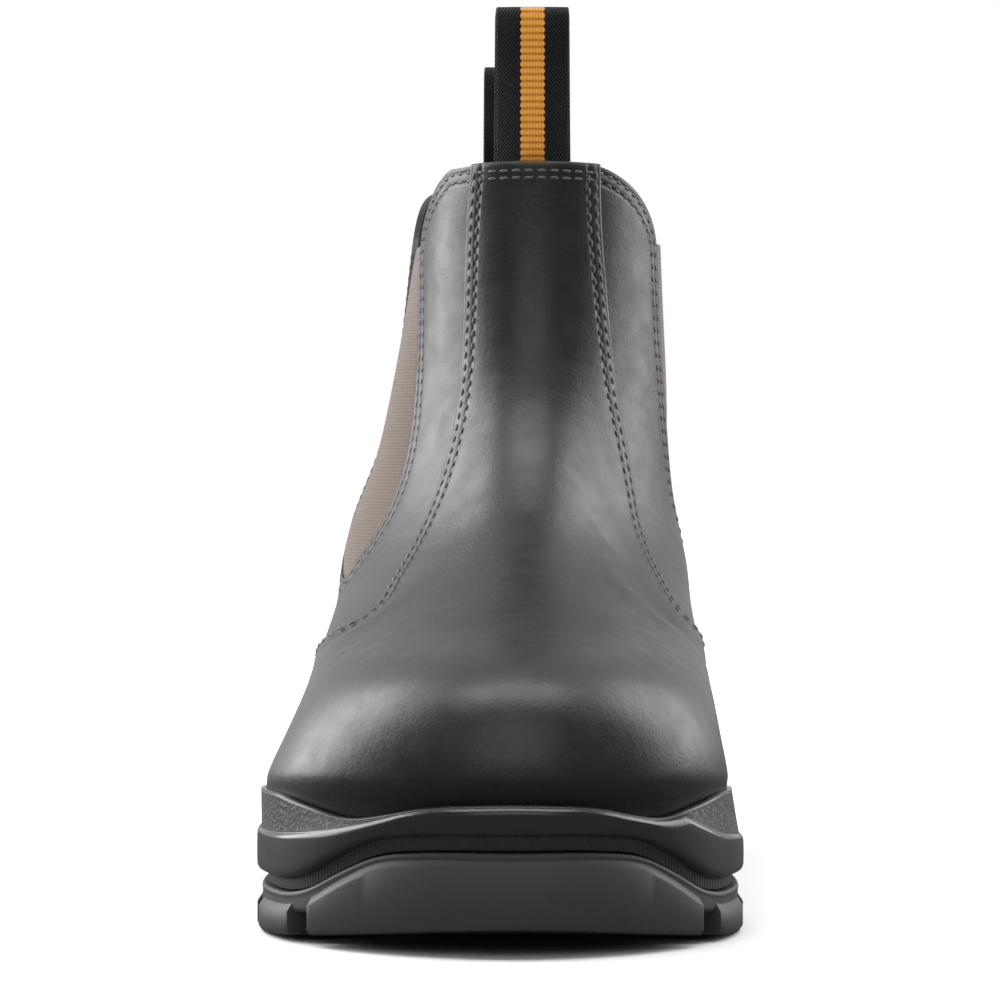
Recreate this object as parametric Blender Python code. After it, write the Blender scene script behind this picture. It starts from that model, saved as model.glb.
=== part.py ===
"""Side gore work boot for the right foot, standing empty on its sole, with a webbing pull loop front and back.

Metres. X runs from the little toe side to the big toe side, Y from toe to heel, Z up.
The origin is on the floor under the middle of the sole.
"""

import math
from collections import namedtuple

import bmesh
import bpy
import numpy as np
from mathutils import Vector
from mathutils.bvhtree import BVHTree

# Overall sizes
SOLE_LENGTH = 0.308
BALL_WIDTH = 0.114
COLLAR_HEIGHT = 0.1845
# Heights of the sole above the floor
TOE_RIM = 0.034
BALL_RIM = 0.0290
HEEL_RIM = 0.040
TOE_FLOOR = 0.0190
BALL_FLOOR = 0.0165
HEEL_FLOOR = 0.0280
TOE_SPRING = 0.0065
HEEL_BEVEL = 0.0015
ARCH_RISE = 0.0050
LUG_DEPTH = 0.0052
PLATE_THICKNESS = 0.0035
# Walls and layers
UPPER_WALL = 0.0024
VAMP_THICKNESS = 0.0012
GORE_THICKNESS = 0.0014
INSOLE_THICKNESS = 0.0050
RIM_WIDTH = 0.0016
BUMPER_WIDTH = 0.0060
WEBBING_THICKNESS = 0.0015
GAP = 0.0003
GORE_CLEARANCE = 0.0006
INSOLE_CLEARANCE = 0.0006
# Steps in the side of the sole, measured in from its outline
PLATE_INSET = 0.0013
GROOVE_INSET = 0.0026
EDGE_ROUND = 0.0007
BAND_STEP = 0.0010
# Gore
GORE_DROP = 0.0195
GORE_LENGTH = 0.0870
GORE_WIDTH_TOP = 0.050
GORE_WIDTH_BOTTOM = 0.030
GORE_SEAM = 0.0050
FRONT_EAR = 0.0210
BACK_EAR = 0.0300
GORE_ROUNDING = 0.0200
# Pull loops
LOOP_WIDTH = 0.0187
LOOP_RISE = 0.0403
REAR_LOOP_RISE = 0.0358
LOOP_TUCK = 0.0140
LOOP_BEND = 0.0022
# Tread
TREAD_FLAT_START = -0.085
HEEL_FLAT_END = 0.135
ARCH_START = 0.004
HEEL_BREAST = 0.060
SIDE_LUG_REACH = 0.0190
LUG_LEDGE = 0.0020
LUG_DRAFT = 0.0008
LUG_ROOT = 0.0012
CENTRE_LUG_LENGTH = 0.0130

HALF_LENGTH = SOLE_LENGTH / 2
HALF_BALL = BALL_WIDTH / 2
UPPER_RISE = COLLAR_HEIGHT - TOE_RIM
GORE_TOP = COLLAR_HEIGHT - GORE_DROP
GORE_BOTTOM = GORE_TOP - GORE_LENGTH

# How full the rounded collar corners are: 1 is a true quarter ellipse, and 2 a straight cut.
EAR_FULLNESS = 1.45

# The gore opening's middle line on each side: its place along the shoe at the top and the bottom, and how it
# bends between them, 1 being straight. The little toe side's follows the instep forward and down.
GoreLine = namedtuple("GoreLine", "side top bottom bend")
LATERAL_GORE = GoreLine(-1, 0.072, 0.004, 0.52)
MEDIAL_GORE = GoreLine(1, 0.064, 0.0545, 1.0)

# A ring of the shoe: where it starts at the front and ends at the back, its height there and at the ball,
# the middle line's place across, and its half widths at five stations from toe to heel.
Ring = namedtuple(
    "Ring",
    "front_y front_z ball_z back_y back_z front_x ball_x heel_x toe ball waist heel rear",
)
STATIONS = (0.07, 0.33, 0.60, 0.84, 0.955)
WAY_KNOTS = (0.0, 0.127, 0.364, 0.603, 0.816, 0.92, 1.0)

# Lengths along the shoe are shares of HALF_LENGTH, widths and middles shares of HALF_BALL.
SOLE_RING = Ring(-1.000, 0.000, 0.000, 1.000, 0.000, 0.051, 0.000, 0.076, 0.728, 0.966, 0.788, 0.695, 0.483)
FLOOR_RING = Ring(
    -0.937, TOE_FLOOR, BALL_FLOOR, 0.948, HEEL_FLOOR, 0.043, -0.025, 0.076, 0.602, 0.822, 0.669, 0.576, 0.382
)
RIM_RING = Ring(
    -0.968, TOE_RIM, BALL_RIM, 0.971, HEEL_RIM, 0.051, -0.022, 0.076, 0.687, 0.905, 0.737, 0.636, 0.424
)
# Heights of these rings are shares of the upper's rise above the toe rim.
UPPER_RINGS = (
    Ring(-0.960, 0.083, 0.062, 0.984, 0.138, 0.056, 0.006, 0.080, 0.681, 0.826, 0.771, 0.655, 0.439),
    Ring(-0.906, 0.169, 0.135, 0.986, 0.207, 0.063, 0.037, 0.081, 0.579, 0.821, 0.748, 0.648, 0.426),
    Ring(-0.760, 0.225, 0.190, 0.974, 0.276, 0.074, 0.048, 0.082, 0.430, 0.814, 0.739, 0.632, 0.409),
    Ring(-0.565, 0.252, 0.242, 0.958, 0.346, 0.084, 0.061, 0.082, 0.333, 0.769, 0.732, 0.614, 0.391),
    Ring(-0.370, 0.301, 0.304, 0.940, 0.422, 0.095, 0.064, 0.083, 0.298, 0.755, 0.714, 0.595, 0.377),
    Ring(-0.201, 0.384, 0.373, 0.923, 0.504, 0.109, 0.070, 0.084, 0.281, 0.719, 0.692, 0.579, 0.365),
    Ring(-0.075, 0.484, 0.466, 0.909, 0.594, 0.123, 0.114, 0.085, 0.289, 0.668, 0.648, 0.553, 0.351),
    Ring(0.016, 0.608, 0.587, 0.899, 0.691, 0.137, 0.156, 0.086, 0.307, 0.639, 0.612, 0.521, 0.337),
    Ring(0.062, 0.753, 0.736, 0.896, 0.802, 0.144, 0.182, 0.086, 0.325, 0.604, 0.585, 0.480, 0.316),
    Ring(0.078, 0.892, 0.871, 0.899, 0.906, 0.147, 0.193, 0.087, 0.333, 0.582, 0.561, 0.460, 0.305),
    Ring(0.081, 1.000, 0.982, 0.903, 0.985, 0.147, 0.203, 0.088, 0.333, 0.562, 0.531, 0.454, 0.302),
)

# Heights of the sole's side lines, as shares of TOE_RIM, at shares of the way from toe tip to heel back:
# top of the toe bumper and lugs, top of the outsole, top of the groove, and top of the smooth band.
SoleLine = namedtuple("SoleLine", "way lug outsole groove band_lateral band_medial")
SOLE_LINES = (
    SoleLine(0.000, 0.647, 0.690, 0.794, 0.950, 0.950),
    SoleLine(0.045, 0.647, 0.688, 0.792, 0.940, 0.950),
    SoleLine(0.085, 0.620, 0.655, 0.755, 0.860, 0.930),
    SoleLine(0.115, 0.470, 0.520, 0.620, 0.785, 0.900),
    SoleLine(0.145, 0.310, 0.380, 0.470, 0.745, 0.790),
    SoleLine(0.175, 0.250, 0.330, 0.415, 0.715, 0.710),
    SoleLine(0.260, 0.230, 0.318, 0.400, 0.682, 0.632),
    SoleLine(0.340, 0.230, 0.318, 0.400, 0.682, 0.612),
    SoleLine(0.490, 0.250, 0.350, 0.435, 0.730, 0.680),
    SoleLine(0.600, 0.290, 0.400, 0.490, 0.800, 0.760),
    SoleLine(0.720, 0.330, 0.450, 0.540, 0.880, 0.860),
    SoleLine(0.860, 0.345, 0.475, 0.565, 0.950, 0.940),
    SoleLine(1.000, 0.350, 0.480, 0.570, 0.980, 0.980),
)

# Where the front panel's edge crosses each ring, as a share of the way from toe to heel.
SeamPoint = namedtuple("SeamPoint", "ring lateral medial")
VAMP_SEAM = (
    SeamPoint(1.0, 0.600, 0.575),
    SeamPoint(2.0, 0.555, 0.540),
    SeamPoint(3.0, 0.475, 0.480),
    SeamPoint(4.0, 0.370, 0.405),
    SeamPoint(5.0, 0.272, 0.325),
    SeamPoint(6.0, 0.224, 0.280),
    SeamPoint(7.0, 0.191, 0.252),
    SeamPoint(8.0, 0.160, 0.212),
    SeamPoint(9.0, 0.134, 0.158),
    SeamPoint(10.0, 0.122, 0.124),
    SeamPoint(11.0, 0.116, 0.107),
    SeamPoint(12.0, 0.108, 0.103),
)

# Lugs along the edge of the sole, as shares of the way from toe tip to heel back.
TOE_LUG_END = 0.143
HEEL_LUG_START = 0.872
# Blocks down the middle of the tread: places as shares of HALF_LENGTH, half widths as shares of HALF_BALL.
CENTRE_LUGS = (
    (-0.70, 0.21),
    (-0.56, 0.37),
    (-0.40, 0.43),
    (-0.235, 0.41),
    (-0.08, 0.33),
    (0.495, 0.23),
    (0.65, 0.21),
)
SIDE_LUGS = ((0.168, 0.245), (0.270, 0.347), (0.372, 0.449), (0.690, 0.765), (0.788, 0.850))

RIM = 1
COLLAR = 1 + len(UPPER_RINGS)


def spline_weights(knots, at):
    """Weights of a natural cubic spline through the knots, one row for each place in at."""
    knots = np.asarray(knots, float)
    at = np.atleast_1d(np.asarray(at, float))
    count = len(knots)
    step = np.diff(knots)
    bending = np.eye(count)
    load = np.zeros((count, count))
    for i in range(1, count - 1):
        before, after = step[i - 1], step[i]
        bending[i, i - 1 : i + 2] = before, 2 * (before + after), after
        load[i, i - 1 : i + 2] = 6 / before, -6 / before - 6 / after, 6 / after
    curvature = np.linalg.solve(bending, load)
    left = np.clip(np.searchsorted(knots, at, side="right") - 1, 0, count - 2)
    span = step[left]
    upper = (at - knots[left]) / span
    lower = 1 - upper
    weights = ((lower**3 - lower) * span**2 / 6)[:, None] * curvature[left]
    weights += ((upper**3 - upper) * span**2 / 6)[:, None] * curvature[left + 1]
    rows = np.arange(len(at))
    weights[rows, left] += lower
    weights[rows, left + 1] += upper
    return weights


def round_weights(way):
    """Weights of a closed ring's twelve points. way 0 is the toe, 1 the heel, 0 to 1 the little toe side."""
    once = np.array(WAY_KNOTS + tuple(2 - knot for knot in WAY_KNOTS[-2:0:-1]))
    thrice = np.concatenate([once - 2, once, once + 2])
    weights = spline_weights(thrice, np.atleast_1d(way) % 2)
    return weights.reshape(len(weights), 3, len(once)).sum(axis=1)


def ring_points(ring):
    """The twelve points of a ring: toe, five stations down the little toe side, heel, five back up."""
    middles = (
        (ring.front_x + ring.ball_x) / 2,
        ring.ball_x,
        (ring.ball_x + ring.heel_x) / 2,
        ring.heel_x,
        ring.heel_x,
    )
    heights = (
        0.75 * ring.front_z + 0.25 * ring.ball_z,
        ring.ball_z,
        (ring.ball_z + ring.back_z) / 2,
        0.2 * ring.ball_z + 0.8 * ring.back_z,
        ring.back_z,
    )
    halves = (ring.toe, ring.ball, ring.waist, ring.heel, ring.rear)
    sides = []
    for share, middle, half, height in zip(STATIONS, middles, halves, heights):
        y = ring.front_y + share * (ring.back_y - ring.front_y)
        sides.append((middle, half, y, height))
    lateral = [(x - half, y, z) for x, half, y, z in sides]
    medial = [(x + half, y, z) for x, half, y, z in reversed(sides)]
    front = [(ring.front_x, ring.front_y, ring.front_z)]
    back = [(ring.heel_x, ring.back_y, ring.back_z)]
    return np.array(front + lateral + back + medial) * (HALF_BALL, HALF_LENGTH, 1)


def upper_net():
    """The rings' points, from the edge on the sole's floor up to the collar."""
    rings = [ring_points(FLOOR_RING) + (0, 0, GAP), ring_points(RIM_RING)]
    for ring in UPPER_RINGS:
        rings.append(ring_points(ring) * (1, 1, UPPER_RISE) + (0, 0, TOE_RIM))
    return np.array(rings)


UPPER_NET = upper_net()
SOLE_POINTS = ring_points(SOLE_RING)[:, :2]


def upper_place(way, ring):
    up = spline_weights(range(len(UPPER_NET)), ring)
    return np.einsum("ni,nj,ijk->nk", up, round_weights(way), UPPER_NET)


def upper_face(way, ring, lift=0.0):
    """Points of the upper's outer face at each way round and ring number, lifted off it by lift."""
    way, ring = np.broadcast_arrays(np.asarray(way, float), np.asarray(ring, float))
    small = 1e-4
    along = upper_place(way + small, ring) - upper_place(way - small, ring)
    top = np.minimum(ring + small, COLLAR)
    rise = upper_place(way, top) - upper_place(way, top - 2 * small)
    normal = np.cross(rise, along)
    normal /= np.linalg.norm(normal, axis=1)[:, None]
    return upper_place(way, ring) + np.reshape(lift, (-1, 1)) * normal


def sole_outline(way, inset=0.0):
    """Points of the sole's outline, moved in by inset."""
    way = np.atleast_1d(np.asarray(way, float))
    small = 1e-4
    along = (round_weights(way + small) - round_weights(way - small)) @ SOLE_POINTS
    outward = np.stack([-along[:, 1], along[:, 0]], axis=1)
    outward /= np.linalg.norm(outward, axis=1)[:, None]
    return round_weights(way) @ SOLE_POINTS - outward * np.reshape(inset, (-1, 1))


def sole_centre_x():
    """How far the middle of the outline's width lies from the rings' own axis."""
    across = sole_outline(np.linspace(0, 2, 400))[:, 0]
    return (across.min() + across.max()) / 2


CENTRE_X = sole_centre_x()


def heel_share(way):
    """The share of the way from toe to heel, on either side."""
    way = np.asarray(way, float) % 2
    return np.where(way > 1, 2 - way, way)


def sole_line(name, way):
    """Height of one of the sole's side lines."""
    knots = [row.way for row in SOLE_LINES]
    if name != "band":
        heights = np.interp(heel_share(way), knots, [getattr(row, name) for row in SOLE_LINES])
        return heights * TOE_RIM
    lateral = np.interp(heel_share(way), knots, [row.band_lateral for row in SOLE_LINES])
    medial = np.interp(heel_share(way), knots, [row.band_medial for row in SOLE_LINES])
    return np.where(np.asarray(way) % 2 > 1, medial, lateral) * TOE_RIM


def tread_height(y):
    """Height of the tread's lowest face: flat under ball and heel, sprung at the toe, bevelled at the heel."""
    y = np.asarray(y, float)
    toe = np.clip((TREAD_FLAT_START - y) / (TREAD_FLAT_START + HALF_LENGTH), 0, None) ** 2
    heel = np.clip((y - HEEL_FLAT_END) / (HALF_LENGTH - HEEL_FLAT_END), 0, None) ** 2
    return TOE_SPRING * toe + HEEL_BEVEL * heel


def plate_bottom(y):
    """Underside of the outsole's plate between the lugs, arched between ball and heel."""
    y = np.asarray(y, float)
    inside = np.clip((y - ARCH_START) / (HEEL_BREAST - ARCH_START), 0, 1)
    return tread_height(y) + LUG_DEPTH + ARCH_RISE * np.sin(math.pi * inside) ** 0.7


def with_height(flat, height):
    height = np.broadcast_to(np.asarray(height, float), (len(flat),))
    return np.column_stack([flat, height])


# Shares of the way from the toe to the front panel's edge, and from there to the back strip.
FRONT_SHARES = (0, 0.06, 0.12, 0.18, 0.24, 0.3, 0.37, 0.45, 0.55, 0.66, 0.78, 0.9, 1)
BACK_SHARES = (0, 0.12, 0.25, 0.38, 0.5, 0.62, 0.74, 0.85, 0.93, 1)
BACK_STRIP = 0.958
SEAM_STEP = 0.0016
RING_STEPS = (0, 0.5, 1, 1.5, 2, 2.5, 3, 3.5, 4, 4.5, 5, 5.5, 6, 6.5, 7, 8, 9, 10, 11, 12)


def seam_way(side, ring):
    """Way of the front panel's edge at a ring number, on the lateral or medial side."""
    knots = [row.ring for row in VAMP_SEAM]
    ways = [getattr(row, side) for row in VAMP_SEAM]
    return float(spline_weights(knots, max(ring, RIM))[0] @ ways)


def side_ways(seam):
    """Ways down one side from the toe to the heel, with one on the panel's edge and one on the strip's."""
    front = [seam * share for share in FRONT_SHARES]
    back = [seam + (BACK_STRIP - seam) * share for share in BACK_SHARES[1:]]
    return front + back


def ways_round():
    """Ways round the sole where every loop has a point, the same as the upper has down in the sole."""
    lateral = side_ways(seam_way("lateral", 0))
    medial = side_ways(seam_way("medial", 0))
    return np.array(lateral + [1.0] + [2 - way for way in medial[:0:-1]])


WAYS = ways_round()


def stepped_ways(ring):
    """Ways round the upper at a ring number and, for each, whether the front panel or back strip covers it."""
    sides = []
    for side in ("lateral", "medial"):
        seam = seam_way(side, ring)
        ways = side_ways(seam)
        raised = [1.0] * len(FRONT_SHARES) + [0.0] * (len(BACK_SHARES) - 1)
        ways.insert(len(FRONT_SHARES), seam + SEAM_STEP)
        raised.insert(len(FRONT_SHARES), 0.0)
        ways.append(BACK_STRIP + SEAM_STEP)
        raised.append(1.0)
        sides.append((ways, raised))
    (lateral, lateral_raised), (medial, medial_raised) = sides
    ways = lateral + [1.0] + [2 - way for way in medial[:0:-1]]
    raised = lateral_raised + [1.0] + medial_raised[:0:-1]
    return np.array(ways), np.array(raised)


def loop_faces(count, first, second):
    """Quads between two closed loops of points, given each loop's first index."""
    faces = []
    for i in range(count):
        j = (i + 1) % count
        faces.append((first + i, second + i, second + j, first + j))
    return faces


def ladder_faces(count, first):
    """Faces across a closed loop, between its two sides, for a loop whose first point is its tip."""
    faces = [(first, first + 1, first + count - 1)]
    low, high = 1, count - 1
    while high - low > 2:
        faces.append((first + low, first + low + 1, first + high - 1, first + high))
        low, high = low + 1, high - 1
    if high - low == 2:
        faces.append((first + low, first + low + 1, first + high))
    return faces


def lofted(loops, cap):
    """Points and faces of a body through closed loops, its first and last closed off by the cap given."""
    count = len(loops[0])
    faces = []
    for i in range(len(loops) - 1):
        faces += loop_faces(count, i * count, (i + 1) * count)
    last = (len(loops) - 1) * count
    if cap == "ladder":
        faces += ladder_faces(count, 0) + ladder_faces(count, last)
    if cap == "flat":
        faces += [tuple(range(count)), tuple(range(last, last + count))]
    return np.concatenate(loops), faces


def joined(bodies):
    """Points and faces of several bodies as one mesh."""
    points, faces, start = [], [], 0
    for body_points, body_faces in bodies:
        points.append(body_points)
        faces += [tuple(start + i for i in face) for face in body_faces]
        start += len(body_points)
    return np.concatenate(points), faces


def material(name, colour, roughness):
    made = bpy.data.materials.new(name)
    made.use_nodes = True
    shader = made.node_tree.nodes["Principled BSDF"]
    shader.inputs["Base Color"].default_value = (*colour, 1)
    shader.inputs["Roughness"].default_value = roughness
    shader.inputs["Metallic"].default_value = 0
    return made


def solid(name, body, surface, collection, smooth_degrees=40):
    """Object of a closed body, centred over the sole's outline, facing out and shaded smooth by angle."""
    points, faces = body
    mesh = bpy.data.meshes.new(name)
    mesh.from_pydata((np.asarray(points) - (CENTRE_X, 0, 0)).tolist(), [], faces)
    shape = bmesh.new()
    shape.from_mesh(mesh)
    bmesh.ops.recalc_face_normals(shape, faces=shape.faces)
    shape.to_mesh(mesh)
    shape.free()
    mesh.polygons.foreach_set("use_smooth", [True] * len(mesh.polygons))
    mesh.set_sharp_from_angle(angle=math.radians(smooth_degrees))
    obj = bpy.data.objects.new(name, mesh)
    if surface:
        mesh.materials.append(surface)
    collection.objects.link(obj)
    return obj


def helper(name, body, collection):
    """A body used by a Boolean, drawn as wire and left out of the render."""
    obj = solid(name, body, None, collection)
    obj.hide_render = True
    obj.display_type = "WIRE"
    return obj


def add_boolean(obj, other, operation):
    boolean = obj.modifiers.new(operation.title(), "BOOLEAN")
    boolean.operation = operation
    boolean.solver = "EXACT"
    boolean.object = other


# Upper: one leather shell on the last, open at the collar and underneath, its front panel and back strip raised
def upper_rows(lift, stepped):
    """Loops of the upper from its bottom edge to the collar, lifted off its face by lift."""
    rows = []
    for ring in RING_STEPS:
        ways, raised = stepped_ways(ring)
        above = min(max(ring - RIM, 0) / 0.5, 1)
        step = VAMP_THICKNESS * raised * above if stepped else 0
        rows.append(upper_face(ways, ring, lift + step))
    return rows


def upper_body():
    outer = upper_rows(0, True)
    inner = upper_rows(-UPPER_WALL, False)
    for rows in (outer, inner):
        rows[0][:, 2] = upper_place(stepped_ways(0)[0], 0)[:, 2]
    loops = outer + inner[::-1]
    points, faces = lofted(loops, "open")
    last = (len(loops) - 1) * len(outer[0])
    return points, faces + loop_faces(len(outer[0]), last, 0)


def gore_half_width(height, grown=0.0):
    """Half the gore opening's width at a height, rounded at the bottom, grown by a margin."""
    bottom = GORE_BOTTOM - grown
    way_up = (height - bottom) / (GORE_TOP - bottom)
    straight = (GORE_WIDTH_BOTTOM + (GORE_WIDTH_TOP - GORE_WIDTH_BOTTOM) * way_up) / 2 + grown
    low = min((height - bottom) / GORE_ROUNDING, 1)
    return straight * math.sqrt(max(1 - (1 - low) ** 2.4, 0))


def gore_middle(gore, height):
    way_up = max(height - GORE_BOTTOM, 0) / (GORE_TOP - GORE_BOTTOM)
    return gore.bottom + (gore.top - gore.bottom) * way_up**gore.bend


def opening_outline(gore):
    """A gore opening seen from its side, as (y, z), from its foot up to above the rounded collar corners."""
    front, back = [], []
    heights = [GORE_BOTTOM + GORE_ROUNDING * share for share in (0.02, 0.12, 0.3, 0.6, 1)]
    heights += [GORE_BOTTOM + (GORE_TOP - GORE_BOTTOM) * share for share in (0.5, 0.75, 1)]
    for height in heights:
        half = gore_half_width(height)
        front.append((gore_middle(gore, height) - half, height))
        back.append((gore_middle(gore, height) + half, height))
    half = gore_half_width(GORE_TOP)
    for turn in (14, 30, 46, 62, 76, 90):
        away = 1 - math.cos(math.radians(turn)) ** EAR_FULLNESS
        height = GORE_TOP + (COLLAR_HEIGHT - GORE_TOP) * math.sin(math.radians(turn)) ** EAR_FULLNESS
        front.append((gore.top - half - FRONT_EAR * away, height))
        back.append((gore.top + half + BACK_EAR * away, height))
    front.append((front[-1][0], COLLAR_HEIGHT + 0.02))
    back.append((back[-1][0], COLLAR_HEIGHT + 0.02))
    return front + back[::-1]


def opening_body(gore):
    """A prism with the opening's outline, from inside the shaft out through one of its sides."""
    outline = opening_outline(gore)
    inside = upper_place(0.0, COLLAR)[0][0]
    return lofted([np.array([(x, y, z) for y, z in outline]) for x in (inside, gore.side * BALL_WIDTH)], "flat")


def inner_tree(lift):
    """The upper's inner face, lifted, as a tree that rays can be cast at."""
    points, faces = lofted(upper_rows(lift, False), "open")
    return BVHTree.FromPolygons([Vector(point) for point in points], faces)


def gore_body(tree, gore):
    """Elastic panel behind the opening, against the inner face of one side of the upper."""
    rows, columns = 11, 8
    centre = upper_place(0.0, COLLAR)[0][0]
    top = GORE_TOP
    bottom = GORE_BOTTOM - GORE_SEAM
    outer, inner = [], []
    for i in range(rows):
        share = (i / (rows - 1)) ** 1.4
        height = bottom + (top - bottom) * (0.008 + 0.992 * share)
        half = gore_half_width(height, GORE_SEAM)
        for j in range(columns):
            y = gore_middle(gore, height) + half * (2 * j / (columns - 1) - 1)
            hit = tree.ray_cast(Vector((centre, y, height)), Vector((gore.side, 0, 0)))[0]
            outer.append((hit.x, y, height))
            inner.append((hit.x - gore.side * GORE_THICKNESS, y, height))
    faces = []
    start = rows * columns
    for i in range(rows - 1):
        for j in range(columns - 1):
            a = i * columns + j
            faces.append((a, a + 1, a + columns + 1, a + columns))
            faces.append(tuple(start + k for k in (a, a + columns, a + columns + 1, a + 1)))
    edge = [j for j in range(columns)]
    edge += [i * columns + columns - 1 for i in range(1, rows)]
    edge += [(rows - 1) * columns + j for j in range(columns - 2, -1, -1)]
    edge += [i * columns for i in range(rows - 2, 0, -1)]
    for a, b in zip(edge, edge[1:] + edge[:1]):
        faces.append((a, b, start + b, start + a))
    return np.array(outer + inner), faces


# Pull loops: webbing folded over, both ends tucked inside the collar
def loop_path(rise):
    """Centre line of the folded webbing as (depth behind the collar's inner face, height above the collar)."""
    near = WEBBING_THICKNESS / 2
    far = near + WEBBING_THICKNESS + GAP
    path = [(near, -LOOP_TUCK), (near, -LOOP_TUCK / 2), (near, 0.0), (near, rise * 0.35), (near, rise * 0.7)]
    bend = rise - LOOP_BEND - WEBBING_THICKNESS / 2
    for turn in (0, 30, 60, 90, 120, 150, 180):
        angle = math.radians(turn)
        path.append((near + LOOP_BEND * (1 - math.cos(angle)), bend + LOOP_BEND * math.sin(angle)))
    path += [(near + 2 * LOOP_BEND, rise * 0.7), (far + LOOP_BEND, rise * 0.35), (far, rise * 0.08)]
    path += [(far, -LOOP_TUCK / 2), (far, -LOOP_TUCK)]
    return path


def loop_body(tree, way, rise):
    """Webbing loop behind the collar at its front (way 0) or back (way 1)."""
    x0, y0, collar = upper_place(way, COLLAR)[0]
    inward = 1 if way == 0 else -1
    acrosses = [LOOP_WIDTH * (share - 0.5) for share in (0, 0.25, 0.5, 0.75, 1)]
    start_y = (upper_place(0.0, COLLAR)[0][1] + upper_place(1.0, COLLAR)[0][1]) / 2
    path = loop_path(rise)
    sections = []
    for i, (depth, above) in enumerate(path):
        before, after = path[max(i - 1, 0)], path[min(i + 1, len(path) - 1)]
        along = np.array(after) - np.array(before)
        along /= np.linalg.norm(along)
        across = np.array([along[1], -along[0]]) * WEBBING_THICKNESS / 2
        height = min(above, -0.002)
        flat = min(max(above / rise, 0), 1) * 0.6
        faces_y = []
        for x in acrosses:
            start = Vector((x0 + x, start_y, collar + height))
            faces_y.append(tree.ray_cast(start, Vector((0, -inward, 0)))[0].y)
        middle = faces_y[len(faces_y) // 2]
        outer, inner = [], []
        for x, face_y in zip(acrosses, faces_y):
            base = face_y + (middle - face_y) * flat
            outer.append((x0 + x, base + inward * (depth - across[0]), collar + above - across[1]))
            inner.append((x0 + x, base + inward * (depth + across[0]), collar + above + across[1]))
        sections.append(np.array(outer + inner[::-1]))
    return lofted(sections, "flat")


# Sole: rubber outsole with its lugs, and the midsole that holds the upper like a shallow cup
def plate_top(way, y):
    return np.minimum(plate_bottom(y) + PLATE_THICKNESS, sole_line("outsole", way) - EDGE_ROUND)


def outsole_body():
    edge = sole_outline(WAYS, PLATE_INSET)
    rim = sole_outline(WAYS, PLATE_INSET + EDGE_ROUND)
    wall = sole_outline(WAYS, BUMPER_WIDTH)
    under = sole_outline(WAYS, PLATE_INSET + EDGE_ROUND)
    top = sole_line("outsole", WAYS)
    loops = [
        with_height(wall, plate_top(WAYS, wall[:, 1])),
        with_height(wall, top),
        with_height(rim, top),
        with_height(edge, top - EDGE_ROUND),
        with_height(edge, plate_bottom(edge[:, 1]) + EDGE_ROUND),
        with_height(under, plate_bottom(under[:, 1])),
    ]
    return lofted(loops, "ladder")


def lug_body(first, last, steps):
    """A lug along the sole's edge between two ways round, reaching in under the sole and up its side."""
    sections = []
    for way in np.linspace(first, last, steps):
        top = float(sole_line("lug", way)[()])
        section = []
        y = float(sole_outline(way, 0.0)[0, 1])
        ground = float(tread_height(y))
        plate = float(plate_bottom(sole_outline(way, SIDE_LUG_REACH)[0, 1]))
        plate_edge = float(plate_bottom(y))
        for inset, height in (
            (LUG_DRAFT, ground),
            (0, ground + LUG_DRAFT * 1.5),
            (0, top - LUG_LEDGE),
            (PLATE_INSET, top),
            (PLATE_INSET + LUG_ROOT, top),
            (PLATE_INSET + LUG_ROOT * 1.3, plate_edge + LUG_ROOT),
            (SIDE_LUG_REACH, plate + LUG_ROOT),
            (SIDE_LUG_REACH - LUG_DRAFT, float(tread_height(sole_outline(way, SIDE_LUG_REACH)[0, 1]))),
        ):
            x, y_at = sole_outline(way, inset)[0]
            section.append((x, y_at, height))
        sections.append(np.array(section))
    return lofted(sections, "flat")


def centre_lug(y, half_width, length):
    """A block across the middle of the tread, pointed at its ends."""
    middle = (float(sole_outline(0.5, 0)[0, 0]) + float(sole_outline(1.5, 0)[0, 0])) / 2
    corners = ((-1, 0), (-0.72, -0.5), (0.72, -0.5), (1, 0), (0.72, 0.5), (-0.72, 0.5))
    loops = []
    for draft, level in ((LUG_DRAFT, 0), (0, 1)):
        loop = []
        for across, along in corners:
            at = y + along * (length - 2 * draft)
            height = float(tread_height(at)) if level == 0 else float(plate_bottom(at)) + LUG_ROOT
            loop.append((middle + across * (half_width - draft), at, height))
        loops.append(np.array(loop))
    return lofted(loops, "flat")


def lugs_body():
    bodies = [lug_body(-TOE_LUG_END, TOE_LUG_END, 15), lug_body(HEEL_LUG_START, 2 - HEEL_LUG_START, 9)]
    for first, last in SIDE_LUGS:
        bodies.append(lug_body(first, last, 3))
        bodies.append(lug_body(2 - last, 2 - first, 3))
    for y, half_width in CENTRE_LUGS:
        bodies.append(centre_lug(y * HALF_LENGTH, half_width * HALF_BALL, CENTRE_LUG_LENGTH))
    return joined(bodies)


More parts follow.
